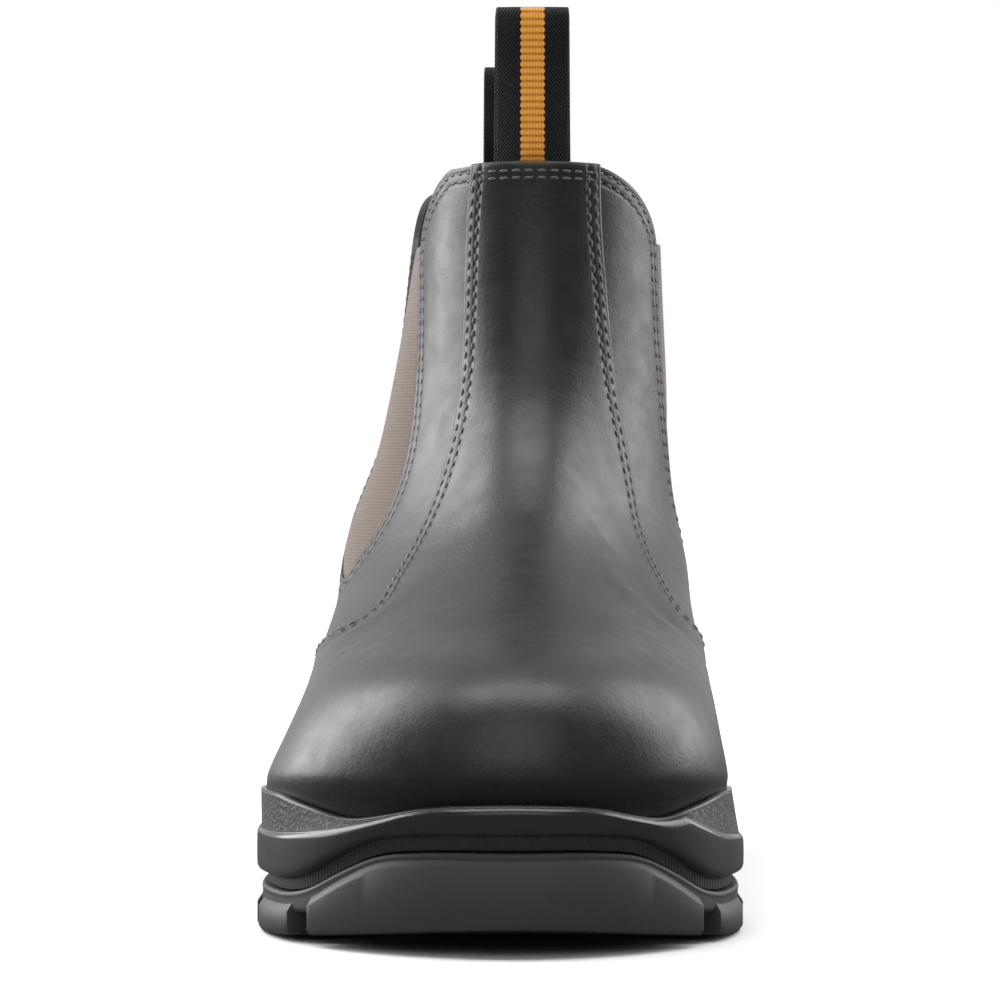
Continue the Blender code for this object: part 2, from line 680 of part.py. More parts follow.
def midsole_body():
    floor = upper_face(WAYS, 0, GAP)
    floor[:, 2] = upper_place(WAYS, 0)[:, 2] - GAP
    rim_inside = upper_face(WAYS, RIM, GAP)
    rim_outside = upper_face(WAYS, RIM, GAP + RIM_WIDTH)
    rim_height = upper_place(WAYS, RIM)[:, 2]
    band = sole_line("band", WAYS)
    groove = sole_line("groove", WAYS)
    bottom = sole_line("outsole", WAYS) + GAP
    outline = sole_outline(WAYS, 0)
    stepped = sole_outline(WAYS, BAND_STEP)
    grooved = sole_outline(WAYS, GROOVE_INSET)
    wall = sole_outline(WAYS, BUMPER_WIDTH + GAP)
    plate = plate_top(WAYS, wall[:, 1]) + GAP
    loops = [
        floor,
        upper_face(WAYS, 0.5, GAP),
        with_height(rim_inside[:, :2], rim_height),
        with_height(rim_outside[:, :2], rim_height),
        with_height(stepped, np.minimum(band + BAND_STEP * 0.6, rim_height - BAND_STEP * 0.4)),
        with_height(outline, np.minimum(band - BAND_STEP * 0.2, rim_height - BAND_STEP * 1.2)),
        with_height(outline, groove + BAND_STEP * 0.8),
        with_height(grooved, groove),
        with_height(grooved, bottom),
        with_height(wall, bottom),
        with_height(wall, plate),
    ]
    return lofted(loops, "ladder")


# Insole: a shaped foot bed lying on the midsole between the walls of the upper
def insole_body():
    inset = -(UPPER_WALL + INSOLE_CLEARANCE)
    bottom = upper_place(WAYS, 0)[:, 2]
    low = upper_face(WAYS, 0, inset)
    above = upper_face(WAYS, 0.5, inset)
    share = ((INSOLE_THICKNESS - EDGE_ROUND) / (above[:, 2] - bottom))[:, None]
    high = low + (above - low) * share
    inward = upper_face(WAYS, 0.5, inset - EDGE_ROUND)
    top_edge = low + (inward - low) * share
    loops = [
        with_height(low[:, :2], bottom),
        with_height(high[:, :2], bottom + INSOLE_THICKNESS - EDGE_ROUND),
        with_height(top_edge[:, :2], bottom + INSOLE_THICKNESS),
    ]
    return lofted(loops, "ladder")


def clear_scene():
    for obj in list(bpy.data.objects):
        bpy.data.objects.remove(obj)


def new_collection(name):
    made = bpy.data.collections.new(name)
    bpy.context.scene.collection.children.link(made)
    return made


def build():
    clear_scene()
    boot = new_collection("side_gore_work_boot")
    cutters = new_collection("cutters")
    cutters.hide_render = True

    rubber = material("black_rubber", (0.012, 0.012, 0.012), 0.6)
    foam = material("black_polyurethane", (0.016, 0.016, 0.016), 0.5)
    leather = material("black_leather", (0.02, 0.02, 0.022), 0.45)
    elastic = material("taupe_elastic", (0.3, 0.25, 0.21), 0.85)
    webbing = material("black_webbing", (0.014, 0.015, 0.017), 0.8)
    bed = material("grey_foot_bed", (0.08, 0.08, 0.085), 0.9)

    outsole = solid("outsole", outsole_body(), rubber, boot)
    add_boolean(outsole, helper("lugs", lugs_body(), cutters), "UNION")
    solid("midsole", midsole_body(), foam, boot)
    solid("insole", insole_body(), bed, boot)
    upper = solid("upper", upper_body(), leather, boot)
    tree = inner_tree(-UPPER_WALL - GORE_CLEARANCE)
    for name, gore in (("lateral", LATERAL_GORE), ("medial", MEDIAL_GORE)):
        add_boolean(upper, helper("gore_opening_" + name, opening_body(gore), cutters), "DIFFERENCE")
        solid("gore_" + name, gore_body(tree, gore), elastic, boot)
    solid("pull_loop_front", loop_body(tree, 0.0, LOOP_RISE), webbing, boot)
    solid("pull_loop_rear", loop_body(tree, 1.0, REAR_LOOP_RISE), webbing, boot)


build()
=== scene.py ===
"""Looks of a side gore work boot for the right foot, standing empty on a pale studio floor."""

import math
from collections import namedtuple

import bmesh
import bpy
import numpy as np
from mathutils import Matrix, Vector
from mathutils.kdtree import KDTree


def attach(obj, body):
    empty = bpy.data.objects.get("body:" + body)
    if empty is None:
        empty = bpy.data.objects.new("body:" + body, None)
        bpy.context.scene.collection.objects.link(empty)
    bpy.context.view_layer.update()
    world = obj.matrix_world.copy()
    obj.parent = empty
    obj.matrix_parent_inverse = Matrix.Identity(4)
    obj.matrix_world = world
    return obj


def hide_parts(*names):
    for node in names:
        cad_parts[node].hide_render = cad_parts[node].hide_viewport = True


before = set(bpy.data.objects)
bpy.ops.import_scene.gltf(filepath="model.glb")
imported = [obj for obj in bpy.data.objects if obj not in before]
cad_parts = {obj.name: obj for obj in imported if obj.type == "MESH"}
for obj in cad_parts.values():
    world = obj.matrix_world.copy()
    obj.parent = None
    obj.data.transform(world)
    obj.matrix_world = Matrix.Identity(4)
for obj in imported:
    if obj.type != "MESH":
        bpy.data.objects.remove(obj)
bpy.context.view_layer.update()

# Studio. The boot stands on a pale floor in front of a bright sweep, seen straight from the toe.
# Large softboxes stand at its sides, and dim ones above and over the camera, as for a catalogue picture.
CAMERA_DISTANCE = 1.154
CAMERA_HEIGHT = 0.120
CAMERA_TILT = 1.07
FOCAL_PIXELS = 4556
FRAME_PIXELS = 1000
SENSOR = 36.0


def linear(hex_colour, alpha=1.0):
    """sRGB hex colour as linear red, green, blue and alpha."""
    channels = [int(hex_colour[i : i + 2], 16) / 255 for i in (0, 2, 4)]
    turned = [c / 12.92 if c <= 0.04045 else ((c + 0.055) / 1.055) ** 2.4 for c in channels]
    return (*turned, alpha)


def connect(tree, node, inputs):
    """Sets each of a node's inputs to a value, or links it to a socket or to another node's first output."""
    for name, value in inputs.items():
        if isinstance(value, bpy.types.Node):
            value = value.outputs[0]
        if isinstance(value, bpy.types.NodeSocket):
            tree.links.new(value, node.inputs[name])
        else:
            node.inputs[name].default_value = value


def add_node(tree, kind, inputs=None, **settings):
    """A shader node with its settings, and its inputs set or linked."""
    made = tree.nodes.new(kind)
    for name, value in settings.items():
        setattr(made, name, value)
    connect(tree, made, inputs or {})
    return made


def new_material(name):
    """A material with an empty Principled shader, as (material, tree, shader)."""
    made = bpy.data.materials.new(name)
    made.use_nodes = True
    tree = made.node_tree
    return made, tree, tree.nodes["Principled BSDF"]


camera_data = bpy.data.cameras.new("camera")
camera_data.sensor_width = SENSOR
camera_data.lens = SENSOR * FOCAL_PIXELS / FRAME_PIXELS
camera_data.clip_start = 0.05
camera = bpy.data.objects.new("camera", camera_data)
camera.location = (0, -CAMERA_DISTANCE, CAMERA_HEIGHT)
camera.rotation_euler = (math.radians(90 - CAMERA_TILT), 0, 0)
bpy.context.scene.collection.objects.link(camera)
bpy.context.scene.camera = camera

Softbox = namedtuple("Softbox", "name place aim width height watts")
SOFTBOXES = (
    Softbox("softbox_left", (-0.80, 0.28, 0.50), (0, -0.05, 0.08), 0.8, 0.9, 14),
    Softbox("softbox_right", (0.80, 0.28, 0.50), (0, -0.05, 0.08), 0.7, 0.9, 8),
    Softbox("softbox_top", (0, -0.18, 1.0), (0, -0.05, 0.05), 0.9, 0.5, 6.5),
    Softbox("softbox_front", (0, -1.5, 0.95), (0, -0.05, 0.12), 1.5, 0.9, 6),
)
for softbox in SOFTBOXES:
    light_data = bpy.data.lights.new(softbox.name, "AREA")
    light_data.shape = "RECTANGLE"
    light_data.size = softbox.width
    light_data.size_y = softbox.height
    light_data.energy = softbox.watts
    light = bpy.data.objects.new(softbox.name, light_data)
    light.location = softbox.place
    aim = Vector(softbox.aim) - Vector(softbox.place)
    light.rotation_euler = aim.to_track_quat("-Z", "Y").to_euler()
    bpy.context.scene.collection.objects.link(light)

# The camera sees a white backdrop. The boot is lit by it from behind and by a dim room from the camera's
# side.
ROOM_GLOW = 0.15
BACKDROP_GLOW = 0.75
world = bpy.data.worlds.new("bright_sweep")
world.use_nodes = True
tree = world.node_tree
facing = add_node(
    tree, "ShaderNodeSeparateXYZ", {0: add_node(tree, "ShaderNodeTexCoord").outputs["Generated"]}
)
glow = add_node(
    tree,
    "ShaderNodeMapRange",
    {
        "Value": facing.outputs["Y"],
        "From Min": -0.3,
        "From Max": 0.8,
        "To Min": ROOM_GLOW,
        "To Max": BACKDROP_GLOW,
    },
)
seen = add_node(tree, "ShaderNodeLightPath").outputs["Is Camera Ray"]
glow = add_node(tree, "ShaderNodeMath", {0: glow, 1: seen}, operation="MAXIMUM")
tree.links.new(glow.outputs[0], tree.nodes["Background"].inputs["Strength"])
tree.nodes["Background"].inputs["Color"].default_value = (1, 1, 1, 1)
bpy.context.scene.world = world
bpy.context.scene.view_settings.view_transform = "Standard"

bpy.ops.object.select_all(action="DESELECT")
bpy.ops.mesh.primitive_plane_add(size=8, location=(0, 0, 0))
floor = bpy.context.object
floor.name = "floor"
paper, tree, shader = new_material("matt_white_studio_paper")
mottle = add_node(tree, "ShaderNodeTexNoise", {"Scale": 3.0, "Detail": 2.0})
shades = {"Factor": mottle, "A": linear("f4f4f3"), "B": linear("f8f8f7")}
tone = add_node(tree, "ShaderNodeMix", shades, data_type="RGBA")
# Painted reflection: glossy rays find the paper dim grey, as if a dark card lay in front of the boot.
glossy = add_node(tree, "ShaderNodeLightPath").outputs["Is Glossy Ray"]
shades = {"Factor": glossy, "A": tone.outputs["Result"], "B": linear("3c3c3c")}
reflection_dimmed_paper = add_node(tree, "ShaderNodeMix", shades, data_type="RGBA")
connect(tree, shader, {"Base Color": reflection_dimmed_paper.outputs["Result"], "Roughness": 0.75})
# Away from the boot the paper glows for the camera, a painted light that brightens it until it runs out to
# white.
LIT_FROM = 0.28
LIT_WHOLLY = 1.1
place = add_node(tree, "ShaderNodeTexCoord").outputs["Object"]
distance = add_node(tree, "ShaderNodeVectorMath", {0: place}, operation="LENGTH").outputs["Value"]
lit = add_node(
    tree,
    "ShaderNodeMapRange",
    {"Value": distance, "From Min": LIT_FROM, "From Max": LIT_WHOLLY},
    interpolation_type="SMOOTHSTEP",
)
shader.inputs["Emission Color"].default_value = (1, 1, 1, 1)
seen = add_node(tree, "ShaderNodeLightPath").outputs["Is Camera Ray"]
run_out = add_node(tree, "ShaderNodeMath", {0: lit, 1: seen}, operation="MULTIPLY")
tree.links.new(run_out.outputs[0], shader.inputs["Emission Strength"])
floor.data.materials.append(paper)

# Vamp and front panel. One cut of leather runs from the toe up the instep to the collar and lies on top of
# the quarters. It is lasted over the toe, and its long edges are skived, folded and sewn down with two rows.
# The upper is pulled over a last, so every leather piece follows one face, given here by rings round the foot
# from the edge in the sole up to the collar. Lengths are shares of half the sole's length, widths of half its
# width at the ball, and heights of the rise from the toe rim to the collar.
SOLE_LENGTH = 0.308
BALL_WIDTH = 0.114
COLLAR_HEIGHT = 0.1845
TOE_RIM = 0.034
BALL_RIM = 0.0290
HEEL_RIM = 0.040
TOE_FLOOR = 0.0190
BALL_FLOOR = 0.0165
HEEL_FLOOR = 0.0280
GAP = 0.0003
HALF_LENGTH = SOLE_LENGTH / 2
HALF_BALL = BALL_WIDTH / 2
UPPER_RISE = COLLAR_HEIGHT - TOE_RIM
# A ring of the shoe: where it starts at the front and ends at the back, its height there and at the ball,
# the middle line's place across, and its half widths at five stations from toe to heel.
Ring = namedtuple(
    "Ring",
    "front_y front_z ball_z back_y back_z front_x ball_x heel_x toe ball waist heel rear",
)
STATIONS = (0.07, 0.33, 0.60, 0.84, 0.955)
WAY_KNOTS = (0.0, 0.127, 0.364, 0.603, 0.816, 0.92, 1.0)

# Lengths along the shoe are shares of HALF_LENGTH, widths and middles shares of HALF_BALL.
SOLE_RING = Ring(-1.000, 0.000, 0.000, 1.000, 0.000, 0.051, 0.000, 0.076, 0.728, 0.966, 0.788, 0.695, 0.483)
FLOOR_RING = Ring(
    -0.937, TOE_FLOOR, BALL_FLOOR, 0.948, HEEL_FLOOR, 0.043, -0.025, 0.076, 0.602, 0.822, 0.669, 0.576, 0.382
)
RIM_RING = Ring(
    -0.968, TOE_RIM, BALL_RIM, 0.971, HEEL_RIM, 0.051, -0.022, 0.076, 0.687, 0.905, 0.737, 0.636, 0.424
)
# Heights of these rings are shares of the upper's rise above the toe rim.
UPPER_RINGS = (
    Ring(-0.960, 0.083, 0.062, 0.984, 0.138, 0.056, 0.006, 0.080, 0.681, 0.826, 0.771, 0.655, 0.439),
    Ring(-0.906, 0.169, 0.135, 0.986, 0.207, 0.063, 0.037, 0.081, 0.579, 0.821, 0.748, 0.648, 0.426),
    Ring(-0.760, 0.225, 0.190, 0.974, 0.276, 0.074, 0.048, 0.082, 0.430, 0.814, 0.739, 0.632, 0.409),
    Ring(-0.565, 0.252, 0.242, 0.958, 0.346, 0.084, 0.061, 0.082, 0.333, 0.769, 0.732, 0.614, 0.391),
    Ring(-0.370, 0.301, 0.304, 0.940, 0.422, 0.095, 0.064, 0.083, 0.298, 0.755, 0.714, 0.595, 0.377),
    Ring(-0.201, 0.384, 0.373, 0.923, 0.504, 0.109, 0.070, 0.084, 0.281, 0.719, 0.692, 0.579, 0.365),
    Ring(-0.075, 0.484, 0.466, 0.909, 0.594, 0.123, 0.114, 0.085, 0.289, 0.668, 0.648, 0.553, 0.351),
    Ring(0.016, 0.608, 0.587, 0.899, 0.691, 0.137, 0.156, 0.086, 0.307, 0.639, 0.612, 0.521, 0.337),
    Ring(0.062, 0.753, 0.736, 0.896, 0.802, 0.144, 0.182, 0.086, 0.325, 0.604, 0.585, 0.480, 0.316),
    Ring(0.078, 0.892, 0.871, 0.899, 0.906, 0.147, 0.193, 0.087, 0.333, 0.582, 0.561, 0.460, 0.305),
    Ring(0.081, 1.000, 0.982, 0.903, 0.985, 0.147, 0.203, 0.088, 0.333, 0.562, 0.531, 0.454, 0.302),
)

# Where the front panel's edge crosses each ring, as a share of the way from toe to heel.
SeamPoint = namedtuple("SeamPoint", "ring lateral medial")
VAMP_SEAM = (
    SeamPoint(1.0, 0.600, 0.575),
    SeamPoint(2.0, 0.555, 0.540),
    SeamPoint(3.0, 0.475, 0.480),
    SeamPoint(4.0, 0.370, 0.405),
    SeamPoint(5.0, 0.272, 0.325),
    SeamPoint(6.0, 0.224, 0.280),
    SeamPoint(7.0, 0.191, 0.252),
    SeamPoint(8.0, 0.160, 0.212),
    SeamPoint(9.0, 0.134, 0.158),
    SeamPoint(10.0, 0.122, 0.124),
    SeamPoint(11.0, 0.116, 0.107),
    SeamPoint(12.0, 0.108, 0.103),
)


def spline_weights(knots, at):
    """Weights of a natural cubic spline through the knots, one row for each place in at."""
    knots = np.asarray(knots, float)
    at = np.atleast_1d(np.asarray(at, float))
    count = len(knots)
    step = np.diff(knots)
    bending = np.eye(count)
    load = np.zeros((count, count))
    for i in range(1, count - 1):
        before, after = step[i - 1], step[i]
        bending[i, i - 1 : i + 2] = before, 2 * (before + after), after
        load[i, i - 1 : i + 2] = 6 / before, -6 / before - 6 / after, 6 / after
    curvature = np.linalg.solve(bending, load)
    left = np.clip(np.searchsorted(knots, at, side="right") - 1, 0, count - 2)
    span = step[left]
    upper = (at - knots[left]) / span
    lower = 1 - upper
    weights = ((lower**3 - lower) * span**2 / 6)[:, None] * curvature[left]
    weights += ((upper**3 - upper) * span**2 / 6)[:, None] * curvature[left + 1]
    rows = np.arange(len(at))
    weights[rows, left] += lower
    weights[rows, left + 1] += upper
    return weights


def round_weights(way):
    """Weights of a closed ring's twelve points. way 0 is the toe, 1 the heel, 0 to 1 the little toe side."""
    once = np.array(WAY_KNOTS + tuple(2 - knot for knot in WAY_KNOTS[-2:0:-1]))
    thrice = np.concatenate([once - 2, once, once + 2])
    weights = spline_weights(thrice, np.atleast_1d(way) % 2)
    return weights.reshape(len(weights), 3, len(once)).sum(axis=1)


def ring_points(ring):
    """The twelve points of a ring: toe, five stations down the little toe side, heel, five back up."""
    middles = (
        (ring.front_x + ring.ball_x) / 2,
        ring.ball_x,
        (ring.ball_x + ring.heel_x) / 2,
        ring.heel_x,
        ring.heel_x,
    )
    heights = (
        0.75 * ring.front_z + 0.25 * ring.ball_z,
        ring.ball_z,
        (ring.ball_z + ring.back_z) / 2,
        0.2 * ring.ball_z + 0.8 * ring.back_z,
        ring.back_z,
    )
    halves = (ring.toe, ring.ball, ring.waist, ring.heel, ring.rear)
    sides = []
    for share, middle, half, height in zip(STATIONS, middles, halves, heights):
        y = ring.front_y + share * (ring.back_y - ring.front_y)
        sides.append((middle, half, y, height))
    lateral = [(x - half, y, z) for x, half, y, z in sides]
    medial = [(x + half, y, z) for x, half, y, z in reversed(sides)]
    front = [(ring.front_x, ring.front_y, ring.front_z)]
    back = [(ring.heel_x, ring.back_y, ring.back_z)]
    return np.array(front + lateral + back + medial) * (HALF_BALL, HALF_LENGTH, 1)


def sole_outline(way, inset=0.0):
    """Points of the sole's outline, moved in by inset."""
    way = np.atleast_1d(np.asarray(way, float))
    small = 1e-4
    along = (round_weights(way + small) - round_weights(way - small)) @ SOLE_POINTS
    outward = np.stack([-along[:, 1], along[:, 0]], axis=1)
    outward /= np.linalg.norm(outward, axis=1)[:, None]
    return round_weights(way) @ SOLE_POINTS - outward * np.reshape(inset, (-1, 1))


SOLE_POINTS = ring_points(SOLE_RING)[:, :2]
across_sole = sole_outline(np.linspace(0, 2, 400))[:, 0]
CENTRE_X = (across_sole.min() + across_sole.max()) / 2
SOLE_POINTS = SOLE_POINTS - (CENTRE_X, 0)
rings = [ring_points(FLOOR_RING) + (0, 0, GAP), ring_points(RIM_RING)]
for ring in UPPER_RINGS:
    rings.append(ring_points(ring) * (1, 1, UPPER_RISE) + (0, 0, TOE_RIM))
UPPER_NET = np.array(rings) - (CENTRE_X, 0, 0)
COLLAR = len(UPPER_NET) - 1


def last_place(way, ring):
    up = spline_weights(range(len(UPPER_NET)), ring)
    return np.einsum("ni,nj,ijk->nk", up, round_weights(way), UPPER_NET)


def last_normal(way, ring):
    small = 1e-4
    along = last_place(way + small, ring) - last_place(way - small, ring)
    top = np.minimum(ring + small, COLLAR)
    rise = last_place(way, top) - last_place(way, top - 2 * small)
    normal = np.cross(rise, along)
    return normal / np.linalg.norm(normal, axis=1)[:, None]


# Flex folds that wear leaves across a boot: troughs (negative) and ridges, as lines over the vamp seen from
# above.
Fold = namedtuple("Fold", "start middle end depth width")
FOLDS = (
    Fold((0.026, -0.022), (0.037, -0.034), (0.047, -0.047), -0.0011, 0.0042),
    Fold((0.024, -0.030), (0.036, -0.043), (0.046, -0.057), 0.0007, 0.0050),
    Fold((0.022, -0.013), (0.033, -0.022), (0.043, -0.034), -0.0007, 0.0038),
    Fold((-0.022, -0.030), (-0.032, -0.037), (-0.041, -0.047), -0.0009, 0.0040),
    Fold((-0.020, -0.040), (-0.031, -0.048), (-0.041, -0.058), 0.0005, 0.0050),
    Fold((-0.014, -0.018), (0.002, -0.026), (0.018, -0.022), -0.0005, 0.0075),
)


def fold_height(points):
    """How far the folds lift or sink each point of the upper, fading out towards their ends and the sole."""
    height = np.zeros(len(points))
    for fold in FOLDS:
        a, b, c = (np.array(end) for end in (fold.start, fold.middle, fold.end))
        shares = np.linspace(0, 1, 25)[:, None]
        line = (1 - shares) ** 2 * a + 2 * shares * (1 - shares) * (2 * b - (a + c) / 2) + shares**2 * c
        reach = np.linalg.norm(points[:, None, :2] - line[None], axis=2)
        nearest = reach.argmin(axis=1)
        fade = np.sin(math.pi * (nearest + 1) / (len(line) + 1)) ** 0.8
        height += fold.depth * fade * np.exp(-((reach.min(axis=1) / fold.width) ** 2))
    return height * np.clip((points[:, 2] - 0.05) / 0.012, 0, 1) * (points[:, 2] < 0.12)


def leather_face(way, ring, lift=0.0):
    """Points of the leather's face over the last, with its folds, lifted by lift."""
    way, ring = np.broadcast_arrays(np.asarray(way, float), np.asarray(ring, float))
    points = last_place(way, ring)
    lift = np.asarray(lift) + fold_height(points)
    return points + np.reshape(lift, (-1, 1)) * last_normal(way, ring)


def seam_way(side, ring):
    """Way of the front panel's edge at each ring number, on the lateral or medial side."""
    knots = [row.ring for row in VAMP_SEAM]
    ways = [getattr(row, side) for row in VAMP_SEAM]
    return spline_weights(knots, np.maximum(ring, 1)) @ ways


def formed_grid(name, columns, rows, place):
    """A grid of points, each moved to where place puts its share across and its share up."""
    bpy.ops.object.select_all(action="DESELECT")
    bpy.ops.mesh.primitive_grid_add(x_subdivisions=columns, y_subdivisions=rows, size=2)
    piece = bpy.context.object
    piece.name = name
    piece.data.name = name
    points = np.empty(len(piece.data.vertices) * 3)
    piece.data.vertices.foreach_get("co", points)
    points = points.reshape(-1, 3)
    shares = np.clip((points[:, :2] + 1) / 2, 0, 1)
    piece.data.vertices.foreach_set("co", place(shares[:, 0], shares[:, 1]).ravel())
    piece.data.update()
    return piece


def apply_modifiers(piece):
    bpy.context.view_layer.objects.active = piece
    for modifier in list(piece.modifiers):
        bpy.ops.object.modifier_apply(modifier=modifier.name)


def thicken(piece, thickness):
    """Gives a sheet its thickness, inwards from its outer face."""
    solidify = piece.modifiers.new("Thickness", "SOLIDIFY")
    solidify.thickness = thickness
    solidify.offset = -1
    apply_modifiers(piece)


def close_seam(piece):
    """Welds the edges of a sheet that has been bent round until they meet."""
    shape = bmesh.new()
    shape.from_mesh(piece.data)
    bmesh.ops.remove_doubles(shape, verts=shape.verts, dist=1e-6)
    shape.to_mesh(piece.data)
    shape.free()


def finish_piece(piece, surface, node, degrees=35):
    """Shades the piece, gives it its material, and lets it stand for its node and ride with the boot."""
    bpy.ops.object.select_all(action="DESELECT")
    piece.select_set(True)
    bpy.context.view_layer.objects.active = piece
    bpy.ops.object.shade_smooth_by_angle(angle=math.radians(degrees))
    piece.data.materials.clear()
    piece.data.materials.append(surface)
    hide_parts(node)
    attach(piece, "root")


# Leather of the vamp and quarters: black full grain cowhide, waxed and buffed. It gives dark satin faces with
# broad soft highlights, fine pebbling that shows only in the highlights, and a duller, rubbed tone on folds.
GRAIN_WIDTH = 0.0009
PORE_WIDTH = 0.00035
CLOUD_WIDTH = 0.030
PULL_WIDTH = 0.00625

black_leather, tree, shader = new_material("waxed_full_grain_leather")
place = add_node(tree, "ShaderNodeTexCoord").outputs["Object"]
cloud = add_node(tree, "ShaderNodeTexNoise", {"Vector": place, "Scale": 1 / CLOUD_WIDTH, "Detail": 4.0})
grain = add_node(tree, "ShaderNodeTexVoronoi", {"Vector": place, "Scale": 1 / GRAIN_WIDTH})
pores = add_node(tree, "ShaderNodeTexNoise", {"Vector": place, "Scale": 1 / PORE_WIDTH, "Detail": 2.0})
pull = add_node(tree, "ShaderNodeTexNoise", {"Vector": place, "Scale": 1 / PULL_WIDTH, "Detail": 3.0})
shades = {"Factor": cloud, "A": linear("111112"), "B": linear("1b1b1c")}
tone = add_node(tree, "ShaderNodeMix", shades, data_type="RGBA")
tree.links.new(tone.outputs["Result"], shader.inputs["Base Color"])
rough = add_node(
    tree,
    "ShaderNodeMapRange",
    {"Value": pull.outputs["Fac"], "From Min": 0.3, "From Max": 0.7, "To Min": 0.35, "To Max": 0.47},
)
tree.links.new(rough.outputs["Result"], shader.inputs["Roughness"])
fine = add_node(
    tree, "ShaderNodeMath", {0: grain.outputs["Distance"], 1: pores.outputs["Fac"]}, operation="ADD"
)
grained = add_node(tree, "ShaderNodeBump", {"Height": fine.outputs[0], "Strength": 0.22, "Distance": 0.00012})
edge = add_node(tree, "ShaderNodeAttribute", attribute_name="edge_mm")
dips = add_node(tree, "ShaderNodeValToRGB")
dips.color_ramp.interpolation = "B_SPLINE"
stops = (
    (0.0, 0.25), (0.10, 0.8), (0.20, 0.15), (0.30, 0.85), (0.44, 0.85), (0.52, 0.2), (0.62, 0.9), (1.0, 1.0)
)
for place_share, level in stops[1:-1]:
    stop = dips.color_ramp.elements.new(place_share)
    stop.color = (level, level, level, 1)
dips.color_ramp.elements[0].color = (0.25, 0.25, 0.25, 1)
dips.color_ramp.elements[-1].color = (1, 1, 1, 1)
scaled = add_node(tree, "ShaderNodeMath", {0: edge.outputs["Fac"], 1: 1 / 8}, operation="MULTIPLY")
tree.links.new(scaled.outputs[0], dips.inputs["Fac"])
sewn = add_node(
    tree,
    "ShaderNodeBump",
    {
        "Height": dips.outputs["Color"],
        "Strength": 0.7,
        "Distance": 0.0007,
        "Normal": grained.outputs["Normal"],
    },
)
creased = add_node(
    tree,
    "ShaderNodeBump",
    {"Height": pull.outputs["Fac"], "Strength": 0.25, "Distance": 0.0006, "Normal": sewn.outputs["Normal"]},
)
connect(
    tree,
    shader,
    {
        "Normal": creased.outputs["Normal"],
        "Specular IOR Level": 0.48,
        "Coat Weight": 0.08,
        "Coat Roughness": 0.28,
    },
)


def store(piece, name, values):
    """Keeps a number for each point of the piece, for its material to read."""
    piece.data.attributes.new(name, "FLOAT", "POINT").data.foreach_set(
        "value", np.asarray(values, np.float32)
    )


def points_of(piece):
    points = np.empty(len(piece.data.vertices) * 3)
    piece.data.vertices.foreach_get("co", points)
    return points.reshape(-1, 3)


VAMP_THICKNESS = 0.0012
VAMP_COLUMNS = 150
VAMP_ROWS = 150
VAMP_FOOT = 0.6
COLLAR_ROLL = 0.0012
ROLL_START = 0.985
ROLL_RISE = 0.45
SKIVED_RINGS = 0.4
Border = namedtuple("Border", "inset lift")
FOLDED_EDGE = (Border(-0.0001, 0.05), Border(0.0, 0.6), Border(0.00025, 0.9), Border(0.0008, 1.0))


def way_length(way, ring):
    """Metres along the face for each unit of way."""
    small = 1e-4
    apart = last_place(way + small, ring) - last_place(way - small, ring)
    return np.linalg.norm(apart, axis=1) / (2 * small)


def panel_columns(share, first, last, first_length, last_length, edge, columns):
    """Ways and lift shares across a panel whose two edges are finished by the same border."""
    index = np.round(share * columns)
    insets = np.array([border.inset for border in edge])
    lifts = np.array([border.lift for border in edge])
    count = len(edge)
    near = np.minimum(index, count - 1).astype(int)
    far = np.minimum(columns - index, count - 1).astype(int)
    low = first - insets[-1] / first_length
    high = last + insets[-1] / last_length
    middle = low + (high - low) * (index - count + 1) / (columns - 2 * count + 2)
    way = np.where(index < count, first - insets[near] / first_length, middle)
    way = np.where(columns - index < count, last + insets[far] / last_length, way)
    return way, np.minimum(lifts[near], lifts[far])


def collar_rows(share, foot):
    """Ring numbers and lifts up a sheet that rolls inward over the collar's edge."""
    ring = foot + (COLLAR - foot) * np.minimum(share / ROLL_START, 1)
    turn = np.clip((share - ROLL_START) / (1 - ROLL_START), 0, 1) * math.pi / 2
    return ring, -COLLAR_ROLL * (1 - np.cos(turn)), COLLAR_ROLL * ROLL_RISE * np.sin(turn)


def vamp_place(across, up):
    ring, roll, rise = collar_rows(up, VAMP_FOOT)
    first = seam_way("lateral", ring)
    last = -seam_way("medial", ring)
    way, lift = panel_columns(
        across, first, last, way_length(first, ring), way_length(last, ring), FOLDED_EDGE, VAMP_COLUMNS
    )
    above = np.clip((ring - 1) / SKIVED_RINGS, 0, 1)
    points = leather_face(way, ring, VAMP_THICKNESS * lift * above + roll)
    points[:, 2] += rise
    return points


def edge_distance(piece, lines):
    """Millimetres from each point of a piece to the nearest of some lines of points."""
    points = np.concatenate(lines)
    near = KDTree(len(points))
    for i, point in enumerate(points):
        near.insert(point, i)
    near.balance()
    return np.array([near.find(point)[2] for point in points_of(piece)]) * 1000


vamp = formed_grid("vamp_leather", VAMP_COLUMNS, VAMP_ROWS, vamp_place)
seam_rings = np.linspace(VAMP_FOOT, COLLAR, 300)
vamp_edges = [
    leather_face(seam_way("lateral", seam_rings), seam_rings),
    leather_face(-seam_way("medial", seam_rings), seam_rings),
]
store(vamp, "edge_mm", edge_distance(vamp, vamp_edges))
thicken(vamp, VAMP_THICKNESS * 0.9)
finish_piece(vamp, black_leather, "upper", 60)

